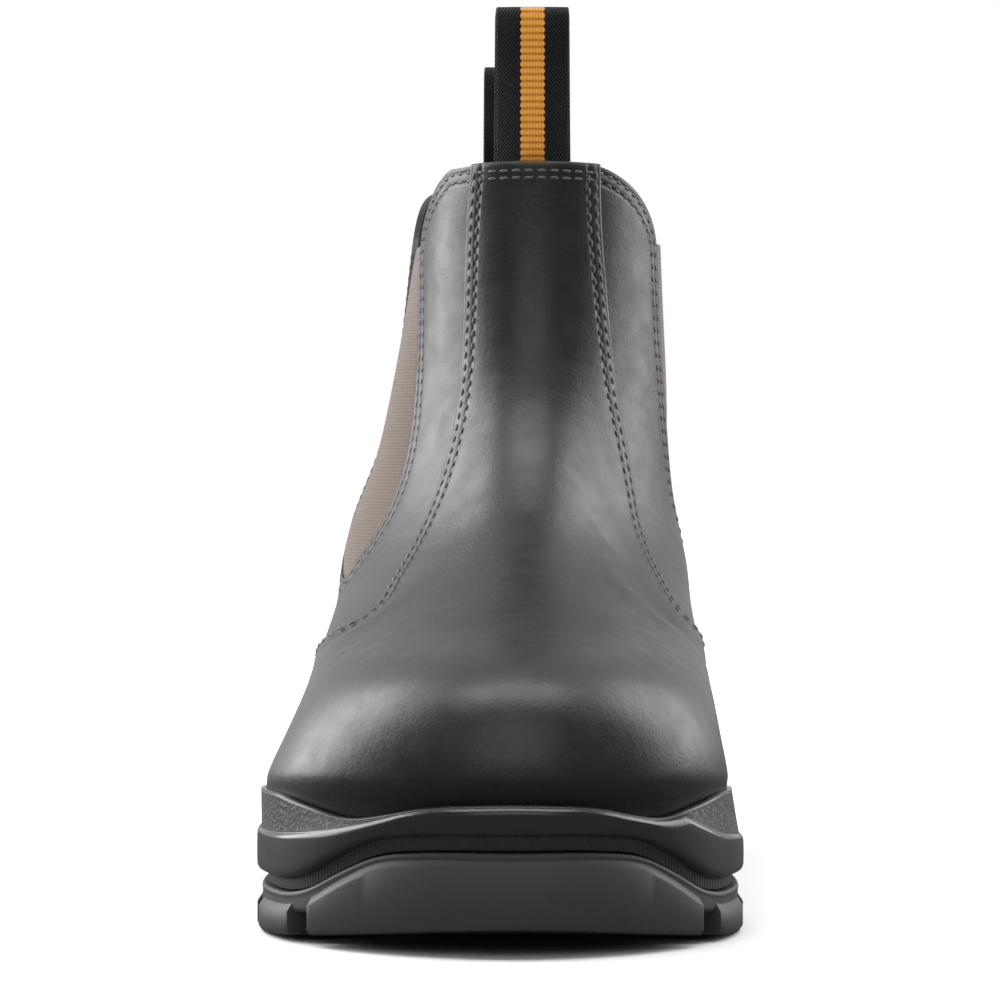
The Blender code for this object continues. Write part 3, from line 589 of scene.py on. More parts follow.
# Quarters. One piece of leather each side joins the vamp, wraps the ankle and heel, and is cut out in a U for
# the elastic. Its top corners are rounded, and its cut edges are sewn with two rows right round the U and the
# collar.
QUARTER_THICKNESS = 0.0016
QUARTER_COLUMNS = 280
QUARTER_ROWS = 46
QUARTER_TUCK = 0.006
CUT_EDGE_ROUND = 0.0004
GORE_DROP = 0.0195
GORE_LENGTH = 0.0870
GORE_TOP = COLLAR_HEIGHT - GORE_DROP
GORE_BOTTOM = GORE_TOP - GORE_LENGTH
GORE_WIDTH_TOP = 0.050
GORE_WIDTH_BOTTOM = 0.030
GORE_ROUNDING = 0.0200
FRONT_EAR = 0.0210
BACK_EAR = 0.0300
# How full the rounded corners are: 1 is a true quarter ellipse, and 2 a straight cut.
EAR_FULLNESS = 1.45
# The opening's outline is eased over this length each way, which rounds the foot of the U.
TIP_SMOOTHING = 0.0055
EDGE_POINTS = 220
STRIP_WAY = 0.958
# Each side's sign of way, and its opening's middle line: its place along the shoe at the top and the bottom,
# and how it bends between them, 1 being straight. The little toe side's follows the instep forward and down.
# Its corners are the shares of the opening's edge whose columns run to the front and back ends of the foot.
# The bulge is how far the stretched elastic stands out in its middle.
Side = namedtuple("Side", "name sign top bottom bend front_corner back_corner bulge")
SIDES = (
    Side("lateral", 1, 0.072, 0.004, 0.52, 0.50, 0.66, 0.0024),
    Side("medial", -1, 0.064, 0.0545, 1.0, 0.41, 0.60, 0.0),
)


def gore_half_width(height, grown=0.0):
    """Half the opening's width at a height, rounded at the bottom, grown by a margin."""
    bottom = GORE_BOTTOM - grown
    way_up = (height - bottom) / (GORE_TOP - bottom)
    straight = (GORE_WIDTH_BOTTOM + (GORE_WIDTH_TOP - GORE_WIDTH_BOTTOM) * way_up) / 2 + grown
    low = np.clip((height - bottom) / GORE_ROUNDING, 0, 1)
    return straight * np.sqrt(np.maximum(1 - (1 - low) ** 2.4, 0))


def gore_middle(side, height):
    way_up = np.maximum(height - GORE_BOTTOM, 0) / (GORE_TOP - GORE_BOTTOM)
    return side.bottom + (side.top - side.bottom) * way_up**side.bend


def run_along(line):
    """How far along a line of points each point is."""
    return np.concatenate([[0], np.cumsum(np.linalg.norm(np.diff(line, axis=0), axis=1))])


def opening_edge(side, grown=0.0):
    """The opening's edge as (y, z), from the front ear down round the foot of the U to the back ear."""
    share = np.linspace(0, 1, 60) ** 2
    heights = GORE_BOTTOM - grown + (GORE_TOP - GORE_BOTTOM + grown) * share
    half = gore_half_width(heights, grown)
    front = np.column_stack([gore_middle(side, heights) - half, heights])
    back = np.column_stack([gore_middle(side, heights) + half, heights])
    turn = np.radians(np.linspace(4, 90, 24))
    top = GORE_TOP + (COLLAR_HEIGHT - GORE_TOP) * np.sin(turn) ** EAR_FULLNESS
    away = 1 - np.cos(turn) ** EAR_FULLNESS
    ear_front = np.column_stack([side.top - half[-1] - (FRONT_EAR + grown) * away, top])
    ear_back = np.column_stack([side.top + half[-1] + (BACK_EAR + grown) * away, top])
    line = np.concatenate([ear_front[::-1], front[::-1], back[1:], ear_back])
    run = run_along(line)
    at = np.linspace(0, run[-1], EDGE_POINTS)
    reach = TIP_SMOOTHING * np.minimum(1, np.minimum(at, run[-1] - at) / TIP_SMOOTHING)
    spread = at[:, None] + reach[:, None] * np.linspace(-1, 1, 15)
    return np.column_stack([np.interp(spread, run, line[:, k]).mean(axis=1) for k in (0, 1)])


def side_place(side, y, z):
    """Ways and ring numbers of the face's points that are seen from one side at y and z."""
    way = np.full(len(y), side.sign * 0.45)
    ring = 1 + (COLLAR - 1) * (z - TOE_RIM) / UPPER_RISE
    small = 1e-4
    for _ in range(16):
        here = last_place(way, ring)[:, 1:]
        along = (last_place(way + small, ring)[:, 1:] - here) / small
        rise = (last_place(way, ring + small)[:, 1:] - here) / small
        miss = np.column_stack([y, z]) - here
        step = np.linalg.solve(np.stack([along, rise], axis=2), miss[:, :, None])[:, :, 0]
        way = way + np.clip(step[:, 0], -0.05, 0.05)
        ring = np.clip(ring + np.clip(step[:, 1], -1, 1), 0, COLLAR + 0.2)
    return way, np.minimum(ring, COLLAR)


def opening_ways(side):
    """Ways and ring numbers along the opening's edge, its ears meeting the collar where the collar is."""
    line = opening_edge(side)
    rim = last_place(side.sign * np.linspace(0.02, 0.98, 90), COLLAR)
    drop = COLLAR_HEIGHT - np.interp(line[:, 0], rim[:, 1], rim[:, 2])
    above = np.clip((line[:, 1] - GORE_TOP) / (COLLAR_HEIGHT - GORE_TOP), 0, 1)
    return side_place(side, line[:, 0], line[:, 1] - drop * above)


def evened(line, count):
    """Count rows spaced evenly along a line of rows, whose last three columns are places."""
    run = run_along(line[:, -3:])
    at = np.linspace(0, run[-1], count)
    return np.column_stack([np.interp(at, run, line[:, k]) for k in range(line.shape[1])])


def quarter_place(side):
    """A quarter's place function: across follows the opening's edge, up runs to the quarter's outer edge."""
    way, ring = opening_ways(side)
    sign = side.sign
    inner = evened(np.column_stack([way, ring, last_place(way, ring)]), QUARTER_COLUMNS + 1)

    def place(across, up):
        share = across if sign > 0 else 1 - across
        column = np.round(share * QUARTER_COLUMNS).astype(int)
        down = np.clip(share / side.front_corner, 0, 1)
        back = np.clip((share - side.front_corner) / (side.back_corner - side.front_corner), 0, 1)
        rise = np.clip((share - side.back_corner) / (1 - side.back_corner), 0, 1)
        outer_ring = COLLAR - (COLLAR - VAMP_FOOT) * (down - rise)
        seam = seam_way(side.name, COLLAR - (COLLAR - VAMP_FOOT) * down)
        tucked = seam - QUARTER_TUCK / way_length(sign * seam, outer_ring)
        outer_way = sign * (tucked + (1 - tucked) * back)
        way = inner[column, 0] + (outer_way - inner[column, 0]) * up
        ring = inner[column, 1] + (outer_ring - inner[column, 1]) * up
        return leather_face(way, ring)

    return place


def round_edges(piece, width, degrees=50, segments=2):
    """Rounds a piece's sharp edges."""
    bevel = piece.modifiers.new("Edges", "BEVEL")
    bevel.limit_method = "ANGLE"
    bevel.angle_limit = math.radians(degrees)
    bevel.width = width
    bevel.segments = segments
    apply_modifiers(piece)


def shifted(way, ring, inset):
    """Ways and ring numbers of a line moved sideways over the face, to the left of the way it runs."""
    points = last_place(way, ring)
    run = np.gradient(points, axis=0)
    aside = np.cross(last_normal(way, ring), run)
    aside *= inset / np.linalg.norm(aside, axis=1)[:, None]
    small = 1e-4
    low = np.minimum(ring, COLLAR - small)
    along = (last_place(way + small, low) - last_place(way, low)) / small
    rise = (last_place(way, low + small) - last_place(way, low)) / small
    step = np.linalg.pinv(np.stack([along, rise], axis=2)) @ aside[:, :, None]
    return way + step[:, 0, 0], ring + step[:, 1, 0]


def quarter_edge(side):
    """Ways and ring numbers along a quarter's free edge: from the vamp over the ears, round the opening."""
    way, ring = opening_ways(side)
    ahead = np.linspace(side.sign * seam_way(side.name, COLLAR)[0], way[0], 12)[:-1]
    behind = np.linspace(way[-1], side.sign * STRIP_WAY, 24)[1:]
    way = np.concatenate([ahead, way, behind])
    ring = np.concatenate([np.full(len(ahead), COLLAR), ring, np.full(len(behind), COLLAR)])
    line = evened(np.column_stack([way, ring, last_place(way, ring)]), 500)
    return line[:, 0], line[:, 1]


for side in SIDES:
    quarter = formed_grid("quarter_leather_" + side.name, QUARTER_COLUMNS, QUARTER_ROWS, quarter_place(side))
    way, ring = quarter_edge(side)
    store(quarter, "edge_mm", edge_distance(quarter, [leather_face(way, ring)]))
    thicken(quarter, QUARTER_THICKNESS)
    round_edges(quarter, CUT_EDGE_ROUND)
    finish_piece(quarter, black_leather, "upper", 50)

# Back strip. A narrow strip of the same leather covers the seam up the heel, sewn down along both edges.
STRIP_THICKNESS = 0.0011
STRIP_COLUMNS = 28
STRIP_ROWS = 110
STRIP_EDGE = (Border(-0.0001, 0.05), Border(0.0, 0.6), Border(0.0003, 0.95), Border(0.0009, 1.0))


def strip_place(across, up):
    ring, roll, rise = collar_rows(up, VAMP_FOOT)
    first = np.full(len(ring), 2 - STRIP_WAY)
    last = np.full(len(ring), STRIP_WAY)
    way, lift = panel_columns(
        across, first, last, way_length(first, ring), way_length(last, ring), STRIP_EDGE, STRIP_COLUMNS
    )
    above = np.clip((ring - 1) / SKIVED_RINGS, 0, 1)
    points = leather_face(way, ring, STRIP_THICKNESS * lift * above + roll)
    points[:, 2] += rise
    return points


strip = formed_grid("back_strip_leather", STRIP_COLUMNS, STRIP_ROWS, strip_place)
strip_rings = np.linspace(1, COLLAR, 200)
strip_edges = [leather_face(np.full(200, way), strip_rings) for way in (STRIP_WAY, 2 - STRIP_WAY)]
store(strip, "edge_mm", edge_distance(strip, strip_edges))
thicken(strip, STRIP_THICKNESS * 0.9)
finish_piece(strip, black_leather, "upper", 60)

# Lining. The inside of the upper is lined with a thin dark textile, cut out behind the elastic as the leather
# is.
LINING_DEPTH = 0.00165
LINING_THICKNESS = 0.0007
LINING_FOOT = 0.15
LINING_TOP = 0.02
WEAVE_WIDTH = 0.0011
GORE_SEAM = 0.0050


def lining_place(across, up):
    ring = LINING_FOOT + (COLLAR - LINING_FOOT - LINING_TOP) * up
    return leather_face(2 - 2 * across, ring, -LINING_DEPTH)


def opening_cutter(side):
    """A prism with a side's opening as its outline, from inside the shaft out through that side."""
    edge = opening_edge(side, GORE_SEAM + 0.0005)
    above = COLLAR_HEIGHT + 0.02
    edge = np.concatenate([[(edge[0, 0], above)], edge, [(edge[-1, 0], above)]])
    bpy.ops.object.select_all(action="DESELECT")
    bpy.ops.mesh.primitive_circle_add(vertices=len(edge), radius=0.01, fill_type="NGON")
    made = bpy.context.object
    inside = last_place(0.0, COLLAR)[0, 0]
    for vertex, (y, z) in zip(made.data.vertices, edge):
        vertex.co = (inside, y, z)
    bpy.ops.object.mode_set(mode="EDIT")
    bpy.ops.mesh.select_all(action="SELECT")
    bpy.ops.mesh.extrude_region_move(TRANSFORM_OT_translate={"value": (-side.sign * BALL_WIDTH, 0, 0)})
    bpy.ops.mesh.select_all(action="SELECT")
    bpy.ops.mesh.normals_make_consistent(inside=False)
    bpy.ops.object.mode_set(mode="OBJECT")
    return made


textile, tree, shader = new_material("woven_polyester_lining")
place = add_node(tree, "ShaderNodeTexCoord").outputs["Object"]
weave = add_node(
    tree,
    "ShaderNodeTexVoronoi",
    {"Vector": place, "Scale": 1 / WEAVE_WIDTH, "Randomness": 0.25},
    distance="CHEBYCHEV",
)
wear = add_node(tree, "ShaderNodeTexNoise", {"Vector": place, "Scale": 45.0, "Detail": 4.0})
shades = {"Factor": wear, "A": linear("1b1b1c"), "B": linear("2b2724")}
tone = add_node(tree, "ShaderNodeMix", shades, data_type="RGBA")
tree.links.new(tone.outputs["Result"], shader.inputs["Base Color"])
woven = add_node(
    tree, "ShaderNodeBump", {"Height": weave.outputs["Distance"], "Strength": 0.5, "Distance": 0.0003}
)
connect(tree, shader, {"Normal": woven.outputs["Normal"], "Roughness": 0.9, "Sheen Weight": 0.15})
lining = formed_grid("shaft_lining", 180, 90, lining_place)
close_seam(lining)
thicken(lining, LINING_THICKNESS)
for side in SIDES:
    cutter = opening_cutter(side)
    boolean = lining.modifiers.new("Opening", "BOOLEAN")
    boolean.operation = "DIFFERENCE"
    boolean.solver = "EXACT"
    boolean.object = cutter
    apply_modifiers(lining)
    bpy.data.objects.remove(cutter)
finish_piece(lining, textile, "upper")

# Stitches. Thick waxed thread in lockstitch, about three stitches to the centimetre, each lying proud between
# two needle holes. One stitch is modelled and copied along every row.
STITCH_PITCH = 0.0033
STITCH_LENGTH = 0.0028
STITCH_WIDTH = 0.00092
STITCH_LIFT = 0.00005
STITCH_FLATNESS = 0.65
ROW_INSETS = (0.0016, 0.0038)
# Height between the two top rings of the last, for a drop below the collar.
TOP_RING_STEP = 0.0165

thread, tree, shader = new_material("waxed_polyester_thread")
place = add_node(tree, "ShaderNodeTexCoord").outputs["Object"]
twist = add_node(tree, "ShaderNodeTexNoise", {"Vector": place, "Scale": 2600.0, "Detail": 1.0})
shades = {"Factor": twist, "A": linear("2b2a29"), "B": linear("5a5653")}
tone = add_node(tree, "ShaderNodeMix", shades, data_type="RGBA")
tree.links.new(tone.outputs["Result"], shader.inputs["Base Color"])
spun = add_node(
    tree, "ShaderNodeBump", {"Height": twist.outputs["Fac"], "Strength": 0.4, "Distance": 0.00015}
)
connect(tree, shader, {"Normal": spun.outputs["Normal"], "Roughness": 0.42})


def stitched(name, rows):
    """One object of all the stitches along some rows, each row as its points and the face's normals."""
    bpy.ops.object.select_all(action="DESELECT")
    bpy.ops.mesh.primitive_uv_sphere_add(segments=6, ring_count=5, radius=0.5)
    piece = bpy.context.object
    piece.name = piece.data.name = name
    shape = points_of(piece)[:, [2, 0, 1]] * (STITCH_LENGTH, STITCH_WIDTH, STITCH_WIDTH * STITCH_FLATNESS)
    shape[:, 2] -= 0.4 * STITCH_WIDTH * np.abs(shape[:, 0] / (STITCH_LENGTH / 2)) ** 2.5
    polygons = [tuple(face.vertices) for face in piece.data.polygons]
    points, stitch_faces = [], []
    for line, normals in rows:
        run = run_along(line)
        for at in np.arange(STITCH_PITCH / 2, run[-1], STITCH_PITCH):
            centre = np.array([np.interp(at, run, line[:, k]) for k in range(3)])
            ahead = np.array([np.interp(at + 0.001, run, line[:, k]) for k in range(3)])
            behind = np.array([np.interp(at - 0.001, run, line[:, k]) for k in range(3)])
            normal = np.array([np.interp(at, run, normals[:, k]) for k in range(3)])
            normal /= np.linalg.norm(normal)
            along = ahead - behind
            along -= normal * (along @ normal)
            along /= np.linalg.norm(along)
            across = np.cross(normal, along)
            start = len(points) * len(shape)
            points.append(centre + shape @ np.array([along, across, normal]))
            stitch_faces += [tuple(start + i for i in polygon) for polygon in polygons]
    piece.data.clear_geometry()
    piece.data.from_pydata(np.concatenate(points).tolist(), [], stitch_faces)
    finish_piece(piece, thread, "upper", 80)
    return piece


def face_row(way, ring, lift):
    """A row over the last at each way and ring, lifted, as its points and normals."""
    return leather_face(way, ring, lift), last_normal(way, ring)


rows = []
seam_rings = np.linspace(1.25, COLLAR - 0.05, 400)
for side in SIDES:
    seam = seam_way(side.name, seam_rings)
    for inset in ROW_INSETS:
        way = seam - inset / way_length(side.sign * seam, seam_rings)
        rows.append(face_row(side.sign * way, seam_rings, VAMP_THICKNESS + STITCH_LIFT))
collar_way = np.linspace(-seam_way("medial", COLLAR)[0], seam_way("lateral", COLLAR)[0], 120)[6:-6]
for drop in (0.0022, 0.0042):
    ring = np.full(len(collar_way), COLLAR - drop / TOP_RING_STEP)
    rows.append(face_row(collar_way, ring, VAMP_THICKNESS + STITCH_LIFT))
stitched("vamp_stitches", rows)

rows = []
for side in SIDES:
    way, ring = quarter_edge(side)
    for inset in ROW_INSETS:
        row_way, row_ring = shifted(way, ring, side.sign * inset)
        shown = row_ring < COLLAR - 0.05
        rows.append(face_row(row_way[shown], row_ring[shown], -STITCH_LIFT))
stitched("quarter_stitches", rows)

rows = []
strip_rings = np.linspace(1.3, COLLAR - 0.1, 300)
for way in (STRIP_WAY, 2 - STRIP_WAY):
    inset = np.sign(1 - way) * ROW_INSETS[0] / way_length(np.full(300, way), strip_rings)
    rows.append(face_row(way + inset, strip_rings, STRIP_THICKNESS + STITCH_LIFT))
stitched("back_strip_stitches", rows)

# Elastic. A wide woven rubber web in each opening lets the shaft stretch. It is sewn in behind the leather,
# with fine ribs that run across it and a firmer selvedge along its top.
GORE_THICKNESS = 0.0013
GORE_DEPTH = 0.0017
GORE_COLUMNS = 44
GORE_ROWS = 120
RIB_PITCH = 0.8
SELVEDGE = 4.0


def gore_place(side):
    """The place function of one side's elastic, from its foot up to its top edge."""

    def place(across, up):
        height = GORE_BOTTOM - GORE_SEAM + (GORE_TOP - GORE_BOTTOM + GORE_SEAM) * (0.008 + 0.992 * up**1.3)
        share = across if side.sign < 0 else 1 - across
        y = gore_middle(side, height) + gore_half_width(height, GORE_SEAM) * (2 * share - 1)
        bulge = side.bulge * (np.sin(math.pi * share) * np.sin(math.pi * up)) ** 0.7
        return leather_face(*side_place(side, y, height), bulge - GORE_DEPTH)

    return place


elastic, tree, shader = new_material("ribbed_woven_elastic")
place = add_node(tree, "ShaderNodeTexCoord").outputs["Object"]
height_mm = add_node(tree, "ShaderNodeAttribute", attribute_name="height_mm").outputs["Fac"]
rib = add_node(tree, "ShaderNodeMath", {0: height_mm, 1: 2 * math.pi / RIB_PITCH}, operation="MULTIPLY")
rib = add_node(tree, "ShaderNodeMath", {0: rib}, operation="SINE")
threads = add_node(tree, "ShaderNodeTexNoise", {"Vector": place, "Scale": 1700.0, "Detail": 2.0})
cloud = add_node(tree, "ShaderNodeTexNoise", {"Vector": place, "Scale": 60.0, "Detail": 3.0})
shade = add_node(tree, "ShaderNodeMath", {0: threads, 1: 0.8, 2: 0.1}, operation="MULTIPLY_ADD")
# Painted shade: the colour darkens in the rib troughs, where the bump sinks, besides the threads' own random
# tone.
shade = add_node(tree, "ShaderNodeMath", {0: rib, 1: 0.22, 2: shade}, operation="MULTIPLY_ADD")
shades = {"Factor": shade, "A": linear("3b2e25"), "B": linear("655243")}
tone = add_node(tree, "ShaderNodeMix", shades, data_type="RGBA")
selvedge = add_node(
    tree,
    "ShaderNodeMapRange",
    {
        "Value": height_mm,
        "From Min": GORE_TOP * 1000 - SELVEDGE - 0.2,
        "From Max": GORE_TOP * 1000 - SELVEDGE,
    },
)
shades = {"Factor": selvedge, "A": tone.outputs["Result"], "B": linear("504034")}
whole = add_node(tree, "ShaderNodeMix", shades, data_type="RGBA")
tree.links.new(whole.outputs["Result"], shader.inputs["Base Color"])
relief = add_node(tree, "ShaderNodeMath", {0: threads, 1: 1.5, 2: rib}, operation="MULTIPLY_ADD")
ribbed = add_node(tree, "ShaderNodeBump", {"Height": relief, "Strength": 0.6, "Distance": 0.00012})
connect(
    tree,
    shader,
    {"Normal": ribbed.outputs["Normal"], "Roughness": 0.85, "Sheen Weight": 0.25, "Sheen Roughness": 0.5},
)
for side in SIDES:
    gore = formed_grid("elastic_" + side.name, GORE_COLUMNS, GORE_ROWS, gore_place(side))
    thicken(gore, GORE_THICKNESS)
    store(gore, "height_mm", points_of(gore)[:, 2] * 1000)
    round_edges(gore, 0.0003)
    finish_piece(gore, elastic, "gore_" + side.name, 50)

# Pull loops. Woven polyester webbing, folded over at the top, with both ends sewn in behind the collar at the
# front and the back. It is black in a plain weave, with a raised orange stripe down its middle.
LOOP_WIDTH = 0.0187
LOOP_RISE = 0.0403
REAR_LOOP_RISE = 0.0358
LOOP_TUCK = 0.0140
LOOP_BEND = 0.0022
LOOP_COLUMNS = 34
LOOP_ROWS = 220
WEBBING_THICKNESS = 0.0015
WALL = 0.0024
STRIPE_WIDTH = 6.1
SCALLOP = 1.75
PICK = 1.05
YARN_WIDTH = 0.75


def loop_line(rise, share):
    """Depth behind the collar's inner face and height above the collar, along the folded webbing."""
    near = WEBBING_THICKNESS / 2
    far = near + WEBBING_THICKNESS + GAP
    bend = rise - LOOP_BEND - WEBBING_THICKNESS / 2
    knots = [(near, -LOOP_TUCK), (near, -LOOP_TUCK / 2), (near, 0), (near, rise * 0.35), (near, rise * 0.7)]
    for turn in np.radians(np.linspace(0, 180, 9)):
        knots.append((near + LOOP_BEND * (1 - math.cos(turn)), bend + LOOP_BEND * math.sin(turn)))
    knots += [(near + 2 * LOOP_BEND, rise * 0.7), (far + LOOP_BEND, rise * 0.35), (far, rise * 0.08)]
    knots += [(far, -LOOP_TUCK / 2), (far, -LOOP_TUCK)]
    knots = np.array(knots)
    run = run_along(knots)
    return spline_weights(run, share * run[-1]) @ knots, run[-1]


def loop_place(middle, rise):
    """The place function of the loop at the front (middle way 0) or the back (middle way 1) of the collar."""
    inward = 1 if middle == 0 else -1
    collar = last_place(middle, COLLAR)[0]
    near_ways = middle + np.linspace(-0.16, 0.16, 61)

    def place(across, up):
        line, _ = loop_line(rise, up)
        ahead, _ = loop_line(rise, np.minimum(up + 1e-3, 1))
        behind, _ = loop_line(rise, np.maximum(up - 1e-3, 0))
        run = (ahead - behind) / np.linalg.norm(ahead - behind, axis=1)[:, None]
        line = line + np.column_stack([-run[:, 1], run[:, 0]]) * WEBBING_THICKNESS / 2
        share = across if inward > 0 else 1 - across
        x = LOOP_WIDTH * (share - 0.5)
        points = np.empty((len(up), 3))
        flat = np.clip(line[:, 1] / rise, 0, 1) * 0.6
        for row in np.unique(np.round(up * LOOP_ROWS)):
            here = np.round(up * LOOP_ROWS) == row
            height = min(line[here][0, 1], -0.002)
            ring = np.full(len(near_ways), COLLAR + height / TOP_RING_STEP)
            wall = leather_face(near_ways, ring, -WALL - GAP)
            order = np.argsort(wall[:, 0])
            face = np.interp(collar[0] + x[here], wall[order, 0], wall[order, 1])
            centre = np.interp(collar[0], wall[order, 0], wall[order, 1])
            face = face + (centre - face) * flat[here]
            points[here] = np.column_stack(
                [collar[0] + x[here], face + inward * line[here][:, 0], collar[2] + line[here][:, 1]],
            )
        return points

    return place


webbing, tree, shader = new_material("woven_polyester_webbing")
place = add_node(tree, "ShaderNodeTexCoord").outputs["Object"]
across_mm = add_node(tree, "ShaderNodeAttribute", attribute_name="across_mm").outputs["Fac"]
along_mm = add_node(tree, "ShaderNodeAttribute", attribute_name="along_mm").outputs["Fac"]
# Half wavelengths of the stripe's scallops, of its yarns, and of the warp and weft of the plain weave.
waves = []
for measure, half_wave in (
    (along_mm, SCALLOP),
    (across_mm, YARN_WIDTH),
    (across_mm, PICK * 0.4),
    (along_mm, PICK / 2),
):
    turned = add_node(tree, "ShaderNodeMath", {0: measure, 1: math.pi / half_wave}, operation="MULTIPLY")
    waves.append(add_node(tree, "ShaderNodeMath", {0: turned}, operation="SINE"))
scallop = add_node(tree, "ShaderNodeMath", {0: waves[0]}, operation="ABSOLUTE")
yarn = add_node(tree, "ShaderNodeMath", {0: waves[1]}, operation="ABSOLUTE")
plain = add_node(tree, "ShaderNodeMath", {0: waves[2], 1: waves[3]}, operation="MULTIPLY")
side_mm = add_node(tree, "ShaderNodeMath", {0: across_mm}, operation="ABSOLUTE")
edge = add_node(
    tree, "ShaderNodeMath", {0: scallop, 1: 0.5, 2: STRIPE_WIDTH / 2 - 0.35}, operation="MULTIPLY_ADD"
)
in_stripe = add_node(tree, "ShaderNodeMath", {0: side_mm, 1: edge}, operation="LESS_THAN")
fuzz = add_node(tree, "ShaderNodeTexNoise", {"Vector": place, "Scale": 2200.0, "Detail": 2.0})
# Painted shade: the black is darker in the plain weave's hollows, and the orange darker from each scalloped
# row's crown to its edges and between yarns, following the relief of the bump.
black_shade = add_node(tree, "ShaderNodeMath", {0: plain, 1: 0.5, 2: 0.5}, operation="MULTIPLY_ADD")
shades = {"Factor": black_shade, "A": linear("020304"), "B": linear("0b0e11")}
black = add_node(tree, "ShaderNodeMix", shades, data_type="RGBA")
rounded_shade = add_node(tree, "ShaderNodeMath", {0: scallop, 1: 0.5}, operation="POWER")
yarn_shade = add_node(tree, "ShaderNodeMath", {0: yarn, 1: 0.4, 2: 0.6}, operation="MULTIPLY_ADD")
orange_shade = add_node(tree, "ShaderNodeMath", {0: rounded_shade, 1: yarn_shade}, operation="MULTIPLY")
shades = {"Factor": orange_shade, "A": linear("7c3f0c"), "B": linear("e09a38")}
orange = add_node(tree, "ShaderNodeMix", shades, data_type="RGBA")
shades = {"Factor": in_stripe, "A": black.outputs["Result"], "B": orange.outputs["Result"]}
both = add_node(tree, "ShaderNodeMix", shades, data_type="RGBA")
tree.links.new(both.outputs["Result"], shader.inputs["Base Color"])
raised = add_node(tree, "ShaderNodeMath", {0: orange_shade, 1: 2.0, 2: 1.0}, operation="MULTIPLY_ADD")
raised = add_node(tree, "ShaderNodeMath", {0: in_stripe, 1: raised}, operation="MULTIPLY")
in_black = add_node(tree, "ShaderNodeMath", {0: 1.0, 1: in_stripe}, operation="SUBTRACT")
relief = add_node(tree, "ShaderNodeMath", {0: plain, 1: in_black, 2: raised}, operation="MULTIPLY_ADD")
relief = add_node(tree, "ShaderNodeMath", {0: fuzz, 1: 0.6, 2: relief}, operation="MULTIPLY_ADD")
weave = add_node(tree, "ShaderNodeBump", {"Height": relief, "Strength": 0.7, "Distance": 0.00022})
connect(tree, shader, {"Normal": weave.outputs["Normal"], "Roughness": 0.65, "Specular IOR Level": 0.25})
for name, node, middle, rise in (
    ("front_webbing", "pull_loop_front", 0.0, LOOP_RISE),
    ("rear_webbing", "pull_loop_rear", 1.0, REAR_LOOP_RISE),
):
    loop = formed_grid(name, LOOP_COLUMNS, LOOP_ROWS, loop_place(middle, rise))
    grid_rows, grid_columns = np.divmod(np.arange(len(loop.data.vertices)), LOOP_COLUMNS + 1)
    store(loop, "across_mm", (grid_columns / LOOP_COLUMNS - 0.5) * LOOP_WIDTH * 1000)
    store(loop, "along_mm", grid_rows / LOOP_ROWS * loop_line(rise, 0.0)[1] * 1000)
    thicken(loop, WEBBING_THICKNESS)
    round_edges(loop, 0.0004)
    finish_piece(loop, webbing, node, 50)

# Midsole. A moulded polyurethane unit cupped round the upper: a pebbled band under a thin lip, a smooth
# glossy wall that rises over the toe, and below it a groove with fine upright ribs above the rubber outsole.
RIM_WIDTH = 0.0016
BAND_STEP = 0.0010
GROOVE_INSET = 0.0026
BUMPER_WIDTH = 0.0060
EDGE_ROUND = 0.0007
PLATE_THICKNESS = 0.0035
LUG_DEPTH = 0.0052
ARCH_RISE = 0.005
TOE_SPRING = 0.0065
HEEL_BEVEL = 0.0015
TREAD_FLAT_START = -0.085
HEEL_FLAT_END = 0.135
ARCH_START = 0.004
HEEL_BREAST = 0.060
SOLE_COLUMNS = 480
RIB_SPACING = 1.2
PEBBLE_WIDTH = 0.0008
# Heights of the sole's side lines, as shares of TOE_RIM, at shares of the way from toe tip to heel back:
# top of the toe bumper and lugs, top of the outsole, top of the groove, and top of the smooth band.
SoleLine = namedtuple("SoleLine", "way lug outsole groove band_lateral band_medial")
SOLE_LINES = (
    SoleLine(0.000, 0.647, 0.690, 0.794, 1.020, 1.020),
    SoleLine(0.045, 0.647, 0.688, 0.792, 0.990, 1.020),
    SoleLine(0.085, 0.620, 0.655, 0.755, 0.860, 0.980),
    SoleLine(0.115, 0.470, 0.520, 0.620, 0.785, 0.900),
    SoleLine(0.145, 0.310, 0.380, 0.470, 0.745, 0.790),
    SoleLine(0.175, 0.250, 0.330, 0.415, 0.715, 0.710),
    SoleLine(0.260, 0.230, 0.318, 0.400, 0.682, 0.632),
    SoleLine(0.340, 0.230, 0.318, 0.400, 0.682, 0.612),
    SoleLine(0.490, 0.250, 0.350, 0.435, 0.730, 0.680),
    SoleLine(0.600, 0.290, 0.400, 0.490, 0.800, 0.760),
    SoleLine(0.720, 0.330, 0.450, 0.540, 0.880, 0.860),
    SoleLine(0.860, 0.345, 0.475, 0.565, 0.950, 0.940),
    SoleLine(1.000, 0.350, 0.480, 0.570, 0.980, 0.980),
)


# The lip dips at the toe's corners and rises along the sides: ring numbers at shares of the way to the heel.
LIP_WAVE = (
    (0.0, 1.0),
    (0.05, 0.97),
    (0.085, 0.80),
    (0.11, 0.72),
    (0.14, 0.9),
    (0.19, 1.16),
    (0.27, 1.22),
    (0.45, 1.1),
    (0.62, 1.0),
    (1.0, 1.0),
)
EASES = (-0.012, -0.006, 0.0, 0.006, 0.012)


def lip_ring(way):
    """Ring number of the lip at each way round, its corners eased."""
    shares = 1 - np.abs(1 - (way[:, None] + EASES) % 2)
    return np.interp(shares, *zip(*LIP_WAVE)).mean(axis=1)


